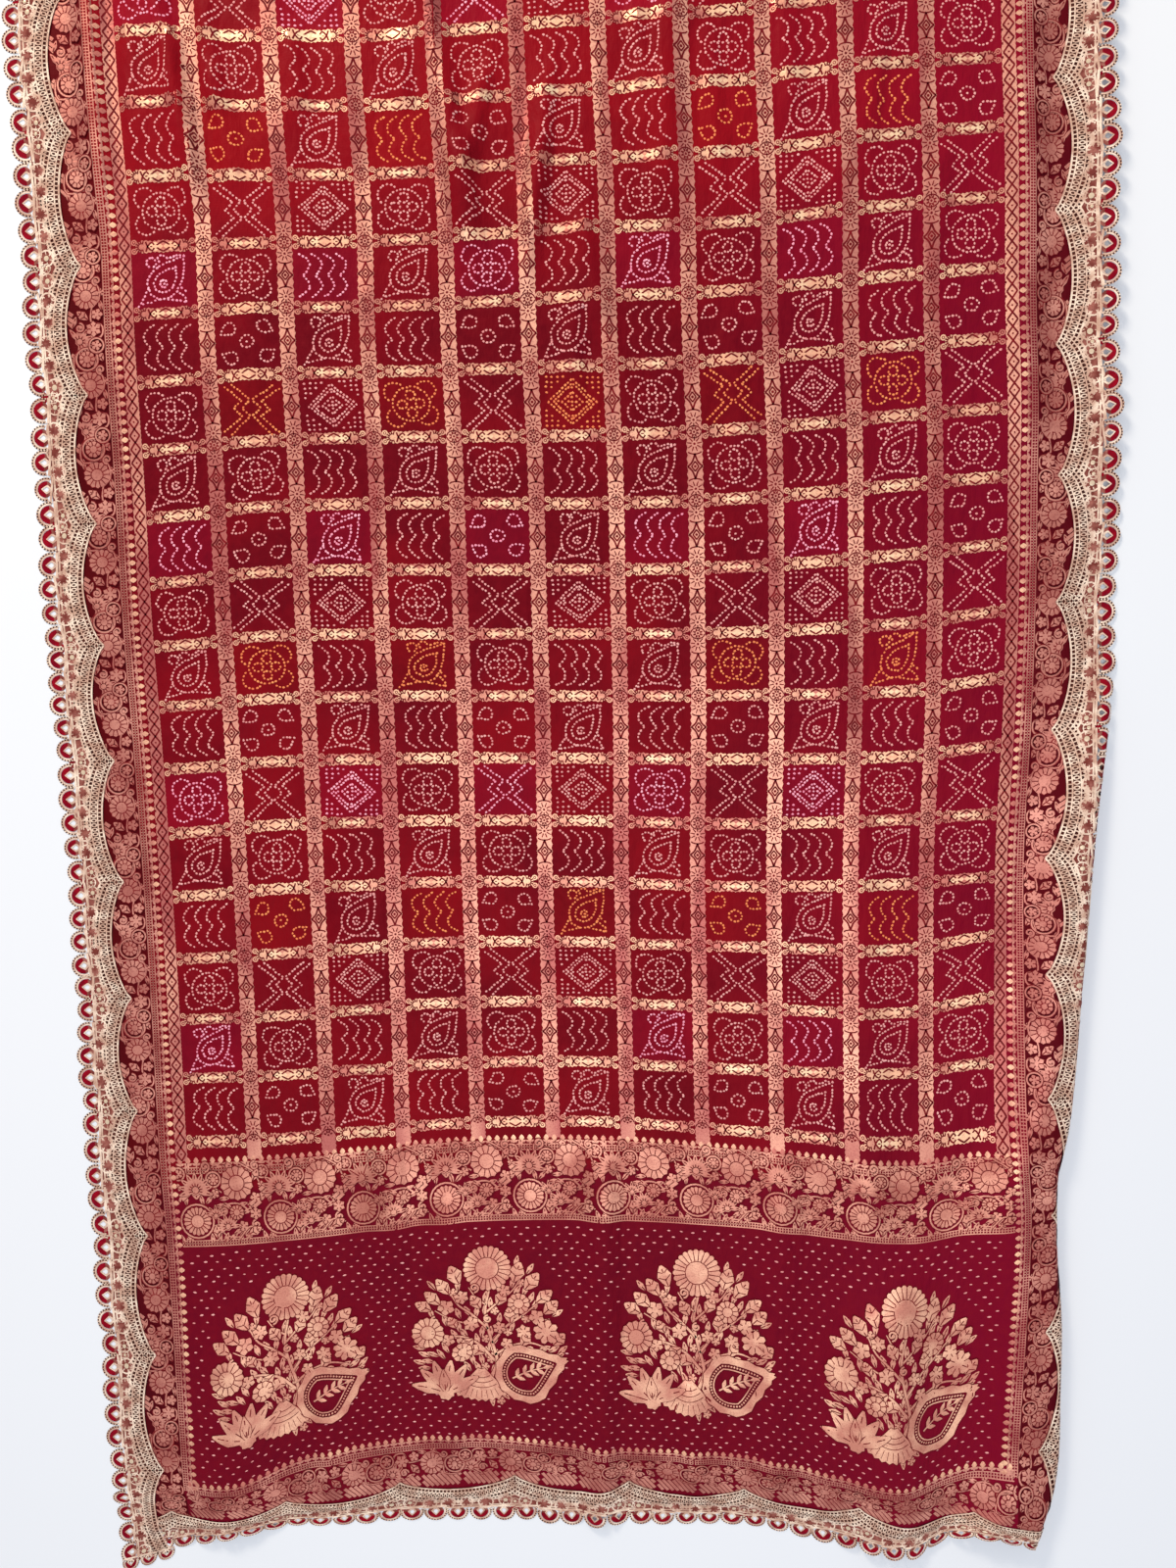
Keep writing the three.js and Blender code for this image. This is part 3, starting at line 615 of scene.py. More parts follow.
def repeated(shape, places):
    """Copies of a shape at rows of (x, y, turn in degrees, size)."""
    corners, triangles, threads = shape
    x, y, turn, size = np.asarray(places, float).reshape(-1, 4).T
    c, s = np.cos(np.radians(turn)) * size, np.sin(np.radians(turn)) * size
    px, py, pz = corners.T
    moved = np.stack([
        px * c[:, None] - py * s[:, None] + x[:, None],
        px * s[:, None] + py * c[:, None] + y[:, None],
        np.broadcast_to(pz, (len(x), len(pz))),
    ], -1)
    copies = np.arange(len(x))[:, None, None] * len(corners)
    return moved.reshape(-1, 3), (triangles[None] + copies).reshape(-1, 3), np.tile(threads, len(x))


def around(shape, count, radius=0.0, start=0.0, sweep=360.0):
    """Copies of a shape moved out by radius and turned about the origin."""
    step = sweep / count if sweep == 360 else sweep / max(1, count - 1)
    moved = put(shape, x=radius)
    return repeated(moved, [(0, 0, start + k * step, 1) for k in range(count)])


def both_sides(shape):
    return join(shape, put(shape, flip=True))


def four_ways(shape):
    """Mirrored left to right and then turned half round."""
    return join(both_sides(shape), put(both_sides(shape), turn=180))


def trimmed(shape, keep):
    """Only the triangles whose three corners pass the test."""
    corners, triangles, threads = shape
    good = keep(corners)[triangles].all(1)
    used, numbers = np.unique(triangles[good], return_inverse=True)
    return corners[used], numbers.reshape(-1, 3), threads[good]


def arc(x, y, rx, ry, start, end, count=10):
    angles = np.radians(np.linspace(start, end, count))
    return np.stack([x + rx * np.cos(angles), y + ry * np.sin(angles)], -1)


def eased(points, count=12):
    """A smooth path through a few points."""
    points = np.asarray(points, float)
    at = np.linspace(0, len(points) - 1, count)
    return np.stack([curve_at(np.arange(len(points)), points[:, k], at) for k in (0, 1)], -1)


def closed(points):
    return np.concatenate([points, points[:1]])


# %% [markdown]
# A drawn triangle that spans a fold would cut through it. Subdividing everything would make millions of
# triangles, so only the sides that cut across a fold are halved. The finished points are then laid on the
# net.

# %% Turning a drawing into a piece
# Which sides of a triangle are halved, as a number, and the smaller triangles that come of it: 0 to 2 are its
# corners and 3 to 5 the middles of the sides that start at them.
HALVED = [
    [(0, 1, 2)],
    [(0, 3, 2), (3, 1, 2)],
    [(0, 1, 4), (0, 4, 2)],
    [(3, 1, 4), (0, 3, 4), (0, 4, 2)],
    [(0, 1, 5), (5, 1, 2)],
    [(0, 3, 5), (3, 1, 2), (3, 2, 5)],
    [(4, 2, 5), (0, 1, 4), (0, 4, 5)],
    [(0, 3, 5), (3, 1, 4), (5, 4, 2), (3, 4, 5)],
]


def fitted(shape, off_by=0.09, rounds=3):
    """Halves the sides of triangles that would cut across a fold, until they follow it."""
    corners, triangles, threads = shape
    for _ in range(rounds):
        sides = np.sort(np.stack([triangles, np.roll(triangles, -1, 1)], -1), -1).reshape(-1, 2)
        keys, where = np.unique(sides[:, 0] * len(corners) + sides[:, 1], return_inverse=True)
        ends = corners[np.stack([keys // len(corners), keys % len(corners)], -1)]
        chord = lay(ends.reshape(-1, 3)).reshape(-1, 2, 3).mean(1)
        cuts = np.linalg.norm(lay(ends.mean(1)) - chord, axis=1) > off_by * MM
        if not cuts.any():
            break
        middles = np.where(cuts, len(corners) + np.cumsum(cuts) - 1, 0)[where].reshape(-1, 3)
        kind = (cuts[where].reshape(-1, 3) * (1, 2, 4)).sum(1)
        corners = np.concatenate([corners, ends.mean(1)[cuts]])
        six = np.concatenate([triangles, middles], 1)
        cases = [(kind == k, part) for k, parts in enumerate(HALVED) for part in parts]
        picked = [(six[case][:, part], threads[case]) for case, part in cases]
        triangles, threads = (np.concatenate(group) for group in zip(*picked))
    return corners, triangles, threads


PIECES = {}


def make_piece(name, slot, shape, height, materials):
    """Lays a drawn shape on the folds at a height over the cloth's middle, as an object."""
    corners, triangles, threads = fitted(put(shape, lift=height))
    mesh = bpy.data.meshes.new(name)
    mesh.from_pydata(lay(corners).tolist(), [], triangles.tolist())
    flat = mesh.attributes.new("flat", "FLOAT_VECTOR", "POINT")
    flat.data.foreach_set("vector", (corners * MM).astype(np.float32).ravel())
    for material in materials:
        mesh.materials.append(material)
    mesh.polygons.foreach_set("material_index", threads.astype(np.int32))
    mesh.polygons.foreach_set("use_smooth", np.ones(len(triangles), bool))
    piece = bpy.data.objects.new(name, mesh)
    bpy.context.scene.collection.objects.link(piece)
    PIECES[name] = (piece, slot)
    print(f"{name}: {len(triangles)} triangles")
    return piece


# %% [markdown]
# ## The silk ground
# The cloth under all the patterns. A subdivided plane could be bent by a modifier, but its lines would not
# match the folds, so its lines are the net's own. A Solidify modifier gives it its thickness. Some squares
# were dyed again, magenta and orange in turn in every second row, and take the second and third silk.

# %% Which squares were dyed again
rng = np.random.default_rng(7)
TOP_ROW = 17  # the row of squares from which motifs and dyes are counted downwards
columns = (np.arange(COLUMNS + 1) - COLUMNS / 2) * CELL_ACROSS
rows = FIRST_BAND + np.arange(ROWS + 1) * CELL_ALONG
column_middles = (columns[1:] + columns[:-1]) / 2
row_middles = (rows[1:] + rows[:-1]) / 2


def tint_of(step, column):
    """0 for the plain dye, 1 for magenta and 2 for orange, by the row's number and the column."""
    row = TOP_ROW - step
    if row % 4 == 2 and column % 2 == 1 and rng.random() < 0.85:
        return 2
    return 1 if row % 4 == 0 and column % 2 == 0 and rng.random() < 0.75 else 0


TINTS = np.array([[tint_of(step, column) for column in range(COLUMNS)] for step in range(ROWS)])

# %% Silk
SILK_THICK = 0.8
across_lines = NET_ACROSS[np.abs(NET_ACROSS) <= CLOTH_HALF + 0.01]
along_lines = NET_ALONG[(NET_ALONG >= -0.01) & (NET_ALONG <= CLOTH_LENGTH + 0.01)]
last_across, last_along = len(across_lines) - 1, len(along_lines) - 1
bm = bmesh.new()
bmesh.ops.create_grid(bm, x_segments=last_across, y_segments=last_along, size=1)
for v in bm.verts:
    x, y = round((v.co.x + 1) / 2 * last_across), round((v.co.y + 1) / 2 * last_along)
    v.co.xy = across_lines[x], along_lines[y]
# Each facet is cut from its near left corner to its far right one, as the net's facets are.
for face in list(bm.faces):
    by_place = sorted(face.verts, key=lambda v: v.co.x + v.co.y)
    bmesh.utils.face_split(face, by_place[0], by_place[-1])
corners, triangles, threads = taken(bm)
middle = corners[triangles].mean(1)
column = np.floor((middle[:, 0] - columns[0]) / CELL_ACROSS).astype(int)
step = np.floor((middle[:, 1] - rows[0]) / CELL_ALONG).astype(int)
inside = (column >= 0) & (column < COLUMNS) & (step >= 0) & (step < ROWS)
threads[inside] = TINTS[step[inside], column[inside]]
silk_piece = make_piece("silk_ground", "dyed_silk", (corners, triangles, threads), 0.0, SILKS)
solidify = silk_piece.modifiers.new("thickness", "SOLIDIFY")
solidify.thickness = SILK_THICK * MM
solidify.offset = 0

ON_SILK = SILK_THICK / 2 + 0.16  # drawn layers lie just over the silk's upper face

# %% [markdown]
# ## The woven grid
# The bands are solid zari with ragged edges, and thin lines of silk show through as drawing: an eyed
# diamond between two rayed flowers on the lengthwise bands, a bright lozenge between leaves and two pine
# cones on the crosswise ones, and four curls where they cross. Drawn silk lines on solid bands need far
# fewer triangles than every float by itself would. One repeat of each is drawn and then copied.


# %% Grid repeats
def band(length, widths, bumps, depth):
    """A strip along x with bumps along both edges; widths are spaced evenly from end to end."""
    x = np.linspace(-length / 2, length / 2, 2 * bumps + 1)
    width = np.interp(x, np.linspace(-length / 2, length / 2, len(widths)), widths)
    return stroke(np.stack([x, 0 * x], -1), width + depth * np.where(np.arange(len(x)) % 2, 1, -1))


def rays(inner, outer, count, width=LINE, start=0.0, sweep=360.0):
    return around(stroke([(inner, 0), (outer, 0)], width, 0.6), count, 0, start, sweep)


long_unit = join(
    band(CELL_ALONG, [14.6, 14.6], 9, 1.2),
    drawn(
        four_ways(stroke(eased([(0, 7.2), (2.4, 4.2), (5.8, 1.9), (11.6, 0)], 6), 1.7)),
        four_ways(stroke([(0, 3.4), (4.6, 0)], 1.4)),
        disc(1.4, 6, 0.05),
        both_sides(put(rays(2.8, 7.2, 9, 1.3), x=20.8)),
        both_sides(put(disc(1.3, 5, 0.05), x=20.8)),
        both_sides(stroke(arc(14.4, 0, 3.0, 6.8, 110, 250, 6), 1.3)),
        both_sides(stroke(arc(CELL_ALONG / 2, 0, 5.6, 6.8, 100, 260, 8), 1.2)),
        both_sides(put(rays(2.2, 4.8, 4, 2.0, 112, 136), x=CELL_ALONG / 2)),
        both_sides(put(disc(1.1, 6, 0.05), x=CELL_ALONG / 2 - 0.1)),
    ),
)
cross_unit = join(
    band(52, [6, 11.4, 11.8, 9.6, 10.6, 11.8, 10.6, 9.6, 11.8, 11.4, 6], 13, 0.9),
    # The lozenge is in the paler zari, a painted highlight on its long floats.
    in_thread(around(drawn_out(disc(1, 8, 0.15), 15, 8.4, 0.4), 2), BRIGHT, 0.05),
    both_sides(put(disc(2.3, 8, 0.1), x=20.5, lift=0.05)),
    drawn(
        four_ways(stroke(eased([(0, 4.8), (3.4, 2.9), (7.8, 0)], 5))),
        *(both_sides(stroke(eased([(7.8, 0), (10.5, 3.8 * s), (14.5, 0.4 * s), (16.4, -4.6 * s)], 7)))
          for s in (1, -1)),
        both_sides(put(rays(2.6, 5.6, 9, start=-110, sweep=220), x=20.5)),
        both_sides(stroke([(9.6, 0), (12.4, 0)], 1.1)),
    ),
)
curl_ring = join(ring(2.9, 1.3, 9), disc(0.9, 6))
corner_curls = join(*(put(curl_ring, sx * 10.6, sy * 4.1) for sx in (1, -1) for sy in (1, -1)))
side_unit = join(
    band(CELL_ALONG / 5, [11.8, 11.8], 3, 0.5),
    drawn(
        four_ways(stroke([(0, 4.6), (CELL_ALONG / 10, 0)])), disc(0.9, 6, 0.05),
        stroke([(-5.4, 5.4), (-3.2, 5.4)]),
    ),
)
tail = band(FIRST_BAND - END_BAND_TO, [14.4, 14.4], 4, 0.9)
inner_columns = columns[1:-1]
SIDE_STRIP = GRID_HALF + 6.25
print("triangles in a repeat:", len(long_unit[1]), "lengthwise and", len(cross_unit[1]), "crosswise")


# %% Grid
def at(xs, ys, turn):
    """Every crossing of the xs and the ys, as places for copies."""
    return [(x, y, turn, 1) for x in xs for y in ys]


tail_middles = [(FIRST_BAND + END_BAND_TO) / 2, FAR_BORDER_FROM - 8.5]
side_middles = np.arange(END_BAND_TO + CELL_ALONG / 10, FAR_BORDER_FROM - 4, CELL_ALONG / 5)
lengthwise = join(
    repeated(long_unit, at(inner_columns, row_middles, 90)),
    repeated(tail, at(inner_columns, tail_middles, 90)),
    repeated(side_unit, at([-SIDE_STRIP, SIDE_STRIP], side_middles, 90)),
)
make_piece("zari_lengthwise_bands", "zari_thread", lengthwise, ON_SILK, [zari_long, outline, zari_bright])
half_curls = trimmed(corner_curls, lambda c: c[:, 0] < 0)
grid_edge = GRID_HALF + BAND_ACROSS / 2
crosswise = join(
    repeated(cross_unit, at(column_middles, rows, 0)),
    repeated(corner_curls, at(inner_columns, rows, 0)),
    repeated(half_curls, at([grid_edge], rows, 0)),
    repeated(half_curls, at([-grid_edge], rows, 180)),
)
crossing_lift = 0.02
cross_zari = [zari_cross, outline, zari_bright]
make_piece("zari_crosswise_bands", "zari_thread", crosswise, ON_SILK + crossing_lift, cross_zari)

# %% [markdown]
# ## The tied dots
# Each dot is a pinch of silk that was bound before dyeing, so it stayed pale and stands up a little. Dots
# could be painted, but only raised ones catch the light. Six motifs take turns along the rows, and three
# kinds of row take turns up the cloth. A motif is a list of lines, and the dots are spaced evenly along
# them.

# %% Motifs as dotted lines
DOT_PITCH = 3.75


def dotted(path, pitch=DOT_PITCH, looped=False):
    """Even places along a path, as rows of x, y and heading in degrees."""
    path = closed(np.asarray(path, float)) if looped else np.asarray(path, float)
    steps = np.linalg.norm(np.diff(path, axis=0), axis=1)
    total = np.concatenate([[0], np.cumsum(steps)])
    count = max(2, round(total[-1] / pitch) + (0 if looped else 1))
    marks = np.linspace(0, total[-1], count, endpoint=not looped)
    place = lambda m: np.stack([np.interp(np.clip(m, 0, total[-1]), total, path[:, k]) for k in (0, 1)], -1)
    ahead = place(marks + 0.1) - place(marks - 0.1)
    return np.column_stack([place(marks), np.degrees(np.arctan2(ahead[:, 1], ahead[:, 0]))])


def drop_outline(length, width, count=16):
    """A drop along x, with its point at the far end."""
    angles = np.linspace(0, 2 * np.pi, count, endpoint=False)
    narrowed = np.sin(angles) * (1 - 0.75 * np.clip(np.cos(angles), -0.2, 1))
    return np.stack([length * (0.15 + 0.5 * np.cos(angles)), width / 2 * narrowed], -1)


def moved(points, x, y, turn):
    c, s = math.cos(math.radians(turn)), math.sin(math.radians(turn))
    return np.stack([x + points[:, 0] * c - points[:, 1] * s, y + points[:, 0] * s + points[:, 1] * c], -1)


CORNERS = [(1, 1), (-1, 1), (-1, -1), (1, -1)]


def dotted_ring(x, y, rx, ry, pitch=3.6, start=0.0, sweep=360.0, count=20):
    return dotted(arc(x, y, rx, ry, start, start + sweep, count)[:-1], pitch, looped=True)


def flower_in_ring():
    lines = [dotted_ring(0, 0, 17.6, 16.8, DOT_PITCH, count=40)]
    lines += [dotted_ring(side * 8.4, 0, 4.7, 4.3) for side in (1, -1)]
    lines += [dotted_ring(0, side * 8.6, 4.3, 4.7, start=90, sweep=-360) for side in (1, -1)]
    lines += [dotted(arc(14.4, 11.8, 9.8, 9.4, -48, 130, 18) * corner) for corner in CORNERS]
    return np.concatenate(lines)


def waves(side):
    y = np.linspace(20.5, -20.5, 25)
    bow = 6.6 * np.abs(np.sin(np.pi * (y - 20.5) / 20.5)) ** 0.85 - 3.4 - 2.6 * (np.abs(y) / 20.5) ** 6
    return np.concatenate([dotted(np.stack([x + side * bow, y], -1), 3.7) for x in (-17.6, -6.0, 5.6, 17.2)])


def mango():
    outer = eased([(19.5, 22), (19, 9), (16.5, -3), (9, -14.5), (-3, -18), (-13, -12.5), (-15, -1), (-9.5, 9),
                   (2, 15.5), (19.5, 22)], 60)
    inner = eased([(12, 12), (11, 0.5), (6.5, -8.5), (-2, -11.5), (-8.6, -6.5), (-8, 1), (-1, 7.5),
                   (12, 12)], 40)
    eye = [dotted(arc(-0.2, -3.2, 3.4, 3.6, 40, 330, 10), 3.0), [(0.2, -3, 0)]]
    tendrils = [
        [(-15, -8), (-19.5, -16), (-24, -24)], [(-20, -21.5), (-12, -20), (-5, -18)],
        [(12.5, -11), (19, -16), (20.5, -21)], [(4, -18.5), (12, -20), (19, -21.5)],
        [(16.5, -8), (20, -11)], [(7, 20.5), (13, 23), (19.5, 22)],
    ]
    curls = [arc(-11.5, 17.2, 4.8, 4.6, -60, 240, 12), arc(-0.8, 20.2, 4.4, 3.4, 10, 220, 8)]
    return np.concatenate([
        dotted(outer, 3.5), dotted(inner, 3.4), *eye,
        *(dotted(line, 3.5) for line in tendrils), *(dotted(line, 3.4) for line in curls),
    ])


def four_drops():
    lines = [dotted_ring(0, 0, 6.6, 6.0, count=24), [(0, 0, 0)]]
    for sx, sy in CORNERS:
        turn = math.degrees(math.atan2(-0.6 * sy, sx))
        drop = moved(drop_outline(15.5, 11.5), 16.0 * sx, 14.4 * sy, turn)
        lines.append(dotted(drop, 3.6, looped=True))
    return np.concatenate(lines)


def crossed_zigzags():
    outer = [(25.5, 20.0), (8.8, 7.4), (17.4, 0), (8.4, -7.0), (25.5, -21.5)]
    inner = [(19.5, 22.8), (1.1, 8.0), (8.6, 0.3), (0.9, -7.4), (19.0, -24.0)]
    halves = [np.array(path) * (side, 1) for side in (1, -1) for path in (outer, inner)]
    return np.concatenate([dotted(path, 3.7) for path in halves])


def nested_diamonds():
    lines = [dotted(np.array([(1.1 * r, 0), (0, r), (-1.1 * r, 0), (0, -r)]), pitch, looped=True)
             for r, pitch in ((20.6, 3.6), (16.4, 3.3), (8.4, 3.5))]
    single = [(0, 0), (0, 3.6), (0, -3.6), (3.8, 0), (-3.8, 0), (0, 12.6), (0, -12.6), (13.6, 0), (-13.6, 0)]
    cluster = [(x, y) for x in (8.6, 14.0, 19.4, 24.8) for y in (8.6, 13.2, 17.8, 22.4)
               if x / 24 + y / 21 > 1.26]
    for points in (single, *(np.array(cluster) * corner for corner in CORNERS)):
        lines.append(np.column_stack([points, np.zeros(len(points))]))
    return np.concatenate(lines)


MOTIFS = {
    "F": flower_in_ring(), "P": mango(), "B": four_drops(), "X": crossed_zigzags(), "D": nested_diamonds(),
}
# F flower in a ring, P mango, B four drops, X zigzags, D diamonds, W waves, which lean one way or the other
ROW_KINDS = {1: "PFW", 2: "WBP", 0: "FXD"}
WAVE_SIDE = {1: 1, 2: -1}
print({name: len(dots) for name, dots in MOTIFS.items()})

# %% [markdown]
# The dots of one colour, all over the cloth, are one joined mesh. Each square was folded and tied by hand,
# so its motif leans and sits a little off the middle, and no two dots are quite the same size.

# %% Dots in every square
dot_places = {colour: [] for colour in DOTS}
for step in range(ROWS):
    kinds = ROW_KINDS[(TOP_ROW - step) % 3]
    for column in range(COLUMNS):
        kind = kinds[column % 3]
        dots = waves(WAVE_SIDE[(TOP_ROW - step) % 3]) if kind == "W" else MOTIFS[kind]
        lean = rng.normal(0, 1.6)
        middle = column_middles[column] + rng.normal(0, 0.7), row_middles[step] + rng.normal(0, 0.6)
        places = moved(dots[:, :2], *middle, lean)
        places = places + rng.normal(0, 0.28, places.shape)
        heading = dots[:, 2] + rng.normal(0, 9, len(dots))
        size = rng.uniform(0.84, 1.12, len(dots))
        dot_places[list(DOTS)[TINTS[step, column]]].append(np.column_stack([places, heading, size]))
DOT_LONG, DOT_WIDE, DOT_HIGH, DOT_LIFT = 2.8, 2.4, 0.6, 0.03
dot = put(drawn_out(disc(1, 5, DOT_HIGH), DOT_LONG, DOT_WIDE), x=-DOT_LONG / 2)
for colour, places in dot_places.items():
    dots = repeated(dot, np.concatenate(places))
    make_piece("tied_dots_" + colour, "tied_dots", dots, SILK_THICK / 2 + DOT_LIFT, [DOTS[colour]])

# %% [markdown]
# ## Flowers, leaves and scrolls
# The woven borders are made of the ordinary figures of this kind of cloth: many-petalled flowers, small
# blossoms, veined leaves, palmettes, buds on curling stems and rings with a flower inside. Each is a solid
# float of zari with its petals and veins drawn over it in the ground colour. They are functions of a size
# and a number of petals, so that one way of drawing gives many flowers.


# %% Border figures
def blossom(radius, petals=6):
    """A flat flower of a few round petals about an eye."""
    notches = rays(0.34 * radius, 0.86 * radius, petals, 1.1)
    return join(lobed(radius, petals, 0.3), drawn(notches, ring(0.32 * radius, 0.9, 8)))


def full_flower(radius, petals=16, inner=10):
    """A round flower of many narrow petals in two rounds."""
    outer = rays(0.5 * radius, 0.94 * radius, petals, 1.1)
    middle = rays(0.16 * radius, 0.42 * radius, inner, 0.8, 12)
    return join(lobed(radius, petals, 0.1), drawn(outer, middle, ring(0.5 * radius, 1.0, 14)))


def leaf(length, width, veins=2):
    """A pointed leaf with a midrib and pairs of side veins."""
    body = drawn_out(disc(1, 10, 0.2), length, width, 0.5)
    if not veins:
        return body
    sides = [stroke([(t * length, 0), ((t + 0.18) * length, side * width * 0.42)], 0.9)
             for t in np.linspace(0.3, 0.6, veins - 1) for side in (1, -1) if veins > 1]
    return join(body, drawn(stroke([(0.04 * length, 0), (0.82 * length, 0)], 1.1), *sides))


def palmette(size, count=7, sweep=200):
    """A fan of pointed leaves on a heart-shaped base."""
    tips = around(leaf(size, size * 0.34, 1), count, 0.5, -sweep / 2, sweep)
    base = in_thread(put(disc(size * 0.3, 8), x=0.5), GROUND, OVER / 2)
    return join(tips, base, drawn(put(ring(size * 0.24, 1.0, 8), x=0.5)))


def curl(radius, thick=1.5):
    """A stem that curls in on itself, a little more than once round, ending in a bud."""
    path = arc(0, 0, 1, 1, -90, 340, 14) * np.linspace(radius, radius / 4, 14)[:, None]
    return join(stroke(path, thick), put(disc(thick * 1.1, 6), *path[-1]))


def ringed(flower, radius, thick=1.5):
    return join(ring(radius, thick, 20), flower)


def stem(points, thick=1.4, tip=0.6, count=10):
    """A stem with a dark line to each side."""
    path = eased(points, count)
    dark = in_thread(stroke(path, thick + LINE, tip), OUTLINE, 0.05)
    return join(dark, put(stroke(path, thick, tip), lift=0.12))


def sprig(points, pairs, leaf_size, thick=1.3):
    """A stem with leaves in pairs along it and one at its end."""
    path = eased(points, 4 * pairs + 3)
    heading = np.degrees(np.arctan2(*np.diff(path, axis=0).T[::-1]))
    places = [(*path[-1], heading[-1], 1)]
    places += [(*path[k], heading[k] + side, 1) for k in range(2, 4 * pairs + 2, 4) for side in (46, -46)]
    return join(stroke(path, thick, 0.6), repeated(leaf(leaf_size, leaf_size * 0.42, 0), places))


def hatching(width, height, pitch=5.4, thick=3.4, slope=0.75):
    """Slanting bars that fill a box from the origin."""
    bars = []
    for y in np.arange(-width * slope, height, pitch):
        start, end = max(0, -y / slope), min(width, (height - y) / slope)
        if end - start > 2:
            bars.append(stroke([(start, y + start * slope), (end, y + end * slope)], thick))
    return join(*bars)


# %% [markdown]
# A field of such figures is crowded, and the weaver fills every gap. So the main figures are placed one by
# one, and a loop puts small leaves and blossoms wherever there is room.


# %% Filling a field
def rimmed(shape, by=0.9):
    """A shape over a dark copy of itself that is a little larger, which parts it from what lies under it."""
    corners = shape[0][:, :2]
    centre, reach = (corners.max(0) + corners.min(0)) / 2, np.ptp(corners, axis=0).max() / 2
    size = 1 + by / reach
    floats = shape[2] == GROUND
    body = shape[0], shape[1][floats], shape[2][floats]
    rim = in_thread(put(body, *(centre * (1 - size)), size=size), OUTLINE)
    return join((rim[0] * (1, 1, 0), *rim[1:]), put(shape, lift=0.06))


def composed(figures, box, apart, aim, inside=lambda x, y: True):
    """Figures at rows of (shape, x, y, turn, reach), with small leaves and flowers in the room that is left.

    A figure with no reach lies behind the others and leaves its room free. The room is a box of two corners,
    where inside says yes; aim gives the way a leaf points.
    """
    parts, reaches = [], []
    for k, figure in enumerate(figures):
        shape, x, y, turn, reach = (*figure, 0, 0, 0, 0)[:5]
        lift = 0.2 * (k % 4 + 1) if reach else 0.1
        parts.append(put(rimmed(shape) if reach else shape, x, y, turn, lift=lift))
        if reach:
            corners = parts[-1][0]
            reaches.append((*(corners.max(0) + corners.min(0))[:2] / 2, reach))
    mx, my, reach = np.array(reaches).T
    small_leaf = put(leaf(apart * 1.5, apart * 0.62, 1), x=-apart * 0.75)
    small_flower = blossom(apart * 0.52, 5)
    (left, near), (right, far) = box
    count = 0
    for row, y in enumerate(np.arange(near, far, apart * 0.84)):
        for x in np.arange(left + apart / 2 * (row % 2), right, apart):
            if inside(x, y) and (np.hypot(mx - x, my - y) > reach + apart * 0.22).all():
                count += 1
                shape = small_flower if count % 6 == 2 else small_leaf
                place = x + rng.normal(0, 0.4), y + rng.normal(0, 0.4)
                parts.append(put(shape, *place, aim(x, y) + 14 * (count % 3 - 1)))
    return join(*parts)


# %% [markdown]
# The flowered band of the sides and hems repeats about every 83 mm, and beside it runs a row of little
# trees that stand on a ladder.

# %% Side repeat, ladder and trees
# The repeat of the side border: x runs outwards from the ladder, y along the cloth.
BORDER_REPEAT = 83.3
side_repeat = composed(
    [
        (full_flower(12.5, 14), 16, 11, 0, 12.5),
        (curl(4.6, 1.6), 5.4, 25, 0, 5.0),
        (ringed(full_flower(7.6, 9, 6), 11.0, 1.6), 17.5, 35, 0, 11.0),
        (ringed(blossom(5.0, 5), 7.4, 1.4), 7.8, 47.5, 0, 7.6),
        (palmette(14.5, 7, 210), 24, 51.5, 160, 8.5),
        (blossom(7.4, 6), 10, 63, 0, 7.6),
        (curl(4.6, 1.6), 23, 64.5, 180, 5.0),
        (blossom(5.6, 5), 6, 76.5, 0, 5.8),
        (leaf(13, 8, 3), 15, 72, 38, 6.0),
        (leaf(11, 7, 2), 2.4, 33, 60, 3.5),
        (stem([(11, 0), (3.5, 8), (4.5, 20), (11, 26), (8, 40)], 1.5, 0.8),),
        (stem([(11, 25), (28, 23), (30, 36), (23, 46)], 1.5, 0.8),),
        (stem([(14, 54), (3, 56), (2, 66), (12, 70), (11, BORDER_REPEAT)], 1.5, 0.9, 14),),
        (hatching(14.5, 40), 29.2),
        (hatching(14.5, 36), 29.2, 44),
    ],
    ((2, 2), (28, 82)), 7.4, lambda x, y: 70 + 40 * math.sin(y / 9),
)
print("triangles in the side repeat:", len(side_repeat[1]))
# The tree row points away from its ladder, which lies on y = 0.
TREE_PITCH = 8.33
tree_figure = join(
    stroke([(-1, 0), (3, 0)], 1.5),
    in_thread(put(drawn_out(disc(1, 8, 0.3), 6.8, 5.4, 0.4), 1.6, 0), BRIGHT),
    *(put(leaf(4.4, 2.6, 0), 0.6, 0.3 * side, 62 * side) for side in (1, -1)),
)


def ladder(length, rungs_apart=2.78):
    """Rails with rungs between, along x, centred on y = 0."""
    x = np.linspace(0, length, max(2, int(length / 40)))
    rails = [stroke(np.stack([x, 0 * x + y], -1), w) for y, w in ((-2.9, 1.0), (-0.2, 0.7), (2.6, 1.1))]
    places = [(k, 0, 0, 1) for k in np.arange(rungs_apart / 2, length, rungs_apart)]
    return join(*rails, repeated(stroke([(0, -2.6), (0, 2.2)], 0.95), places))


def ladder_with_trees(length):
    count = round(length / TREE_PITCH)
    trees = repeated(tree_figure, [((k + 0.5) * length / count, 4.2, 90, 1) for k in range(count)])
    return join(ladder(length), trees)


# %% [markdown]
# ## The side borders
# From the grid outwards: the lattice strip, a row of little trees on a ladder, and the flowered band, which
# runs on under the lace. One side is drawn whole and mirrored, because the two borders mirror each other.

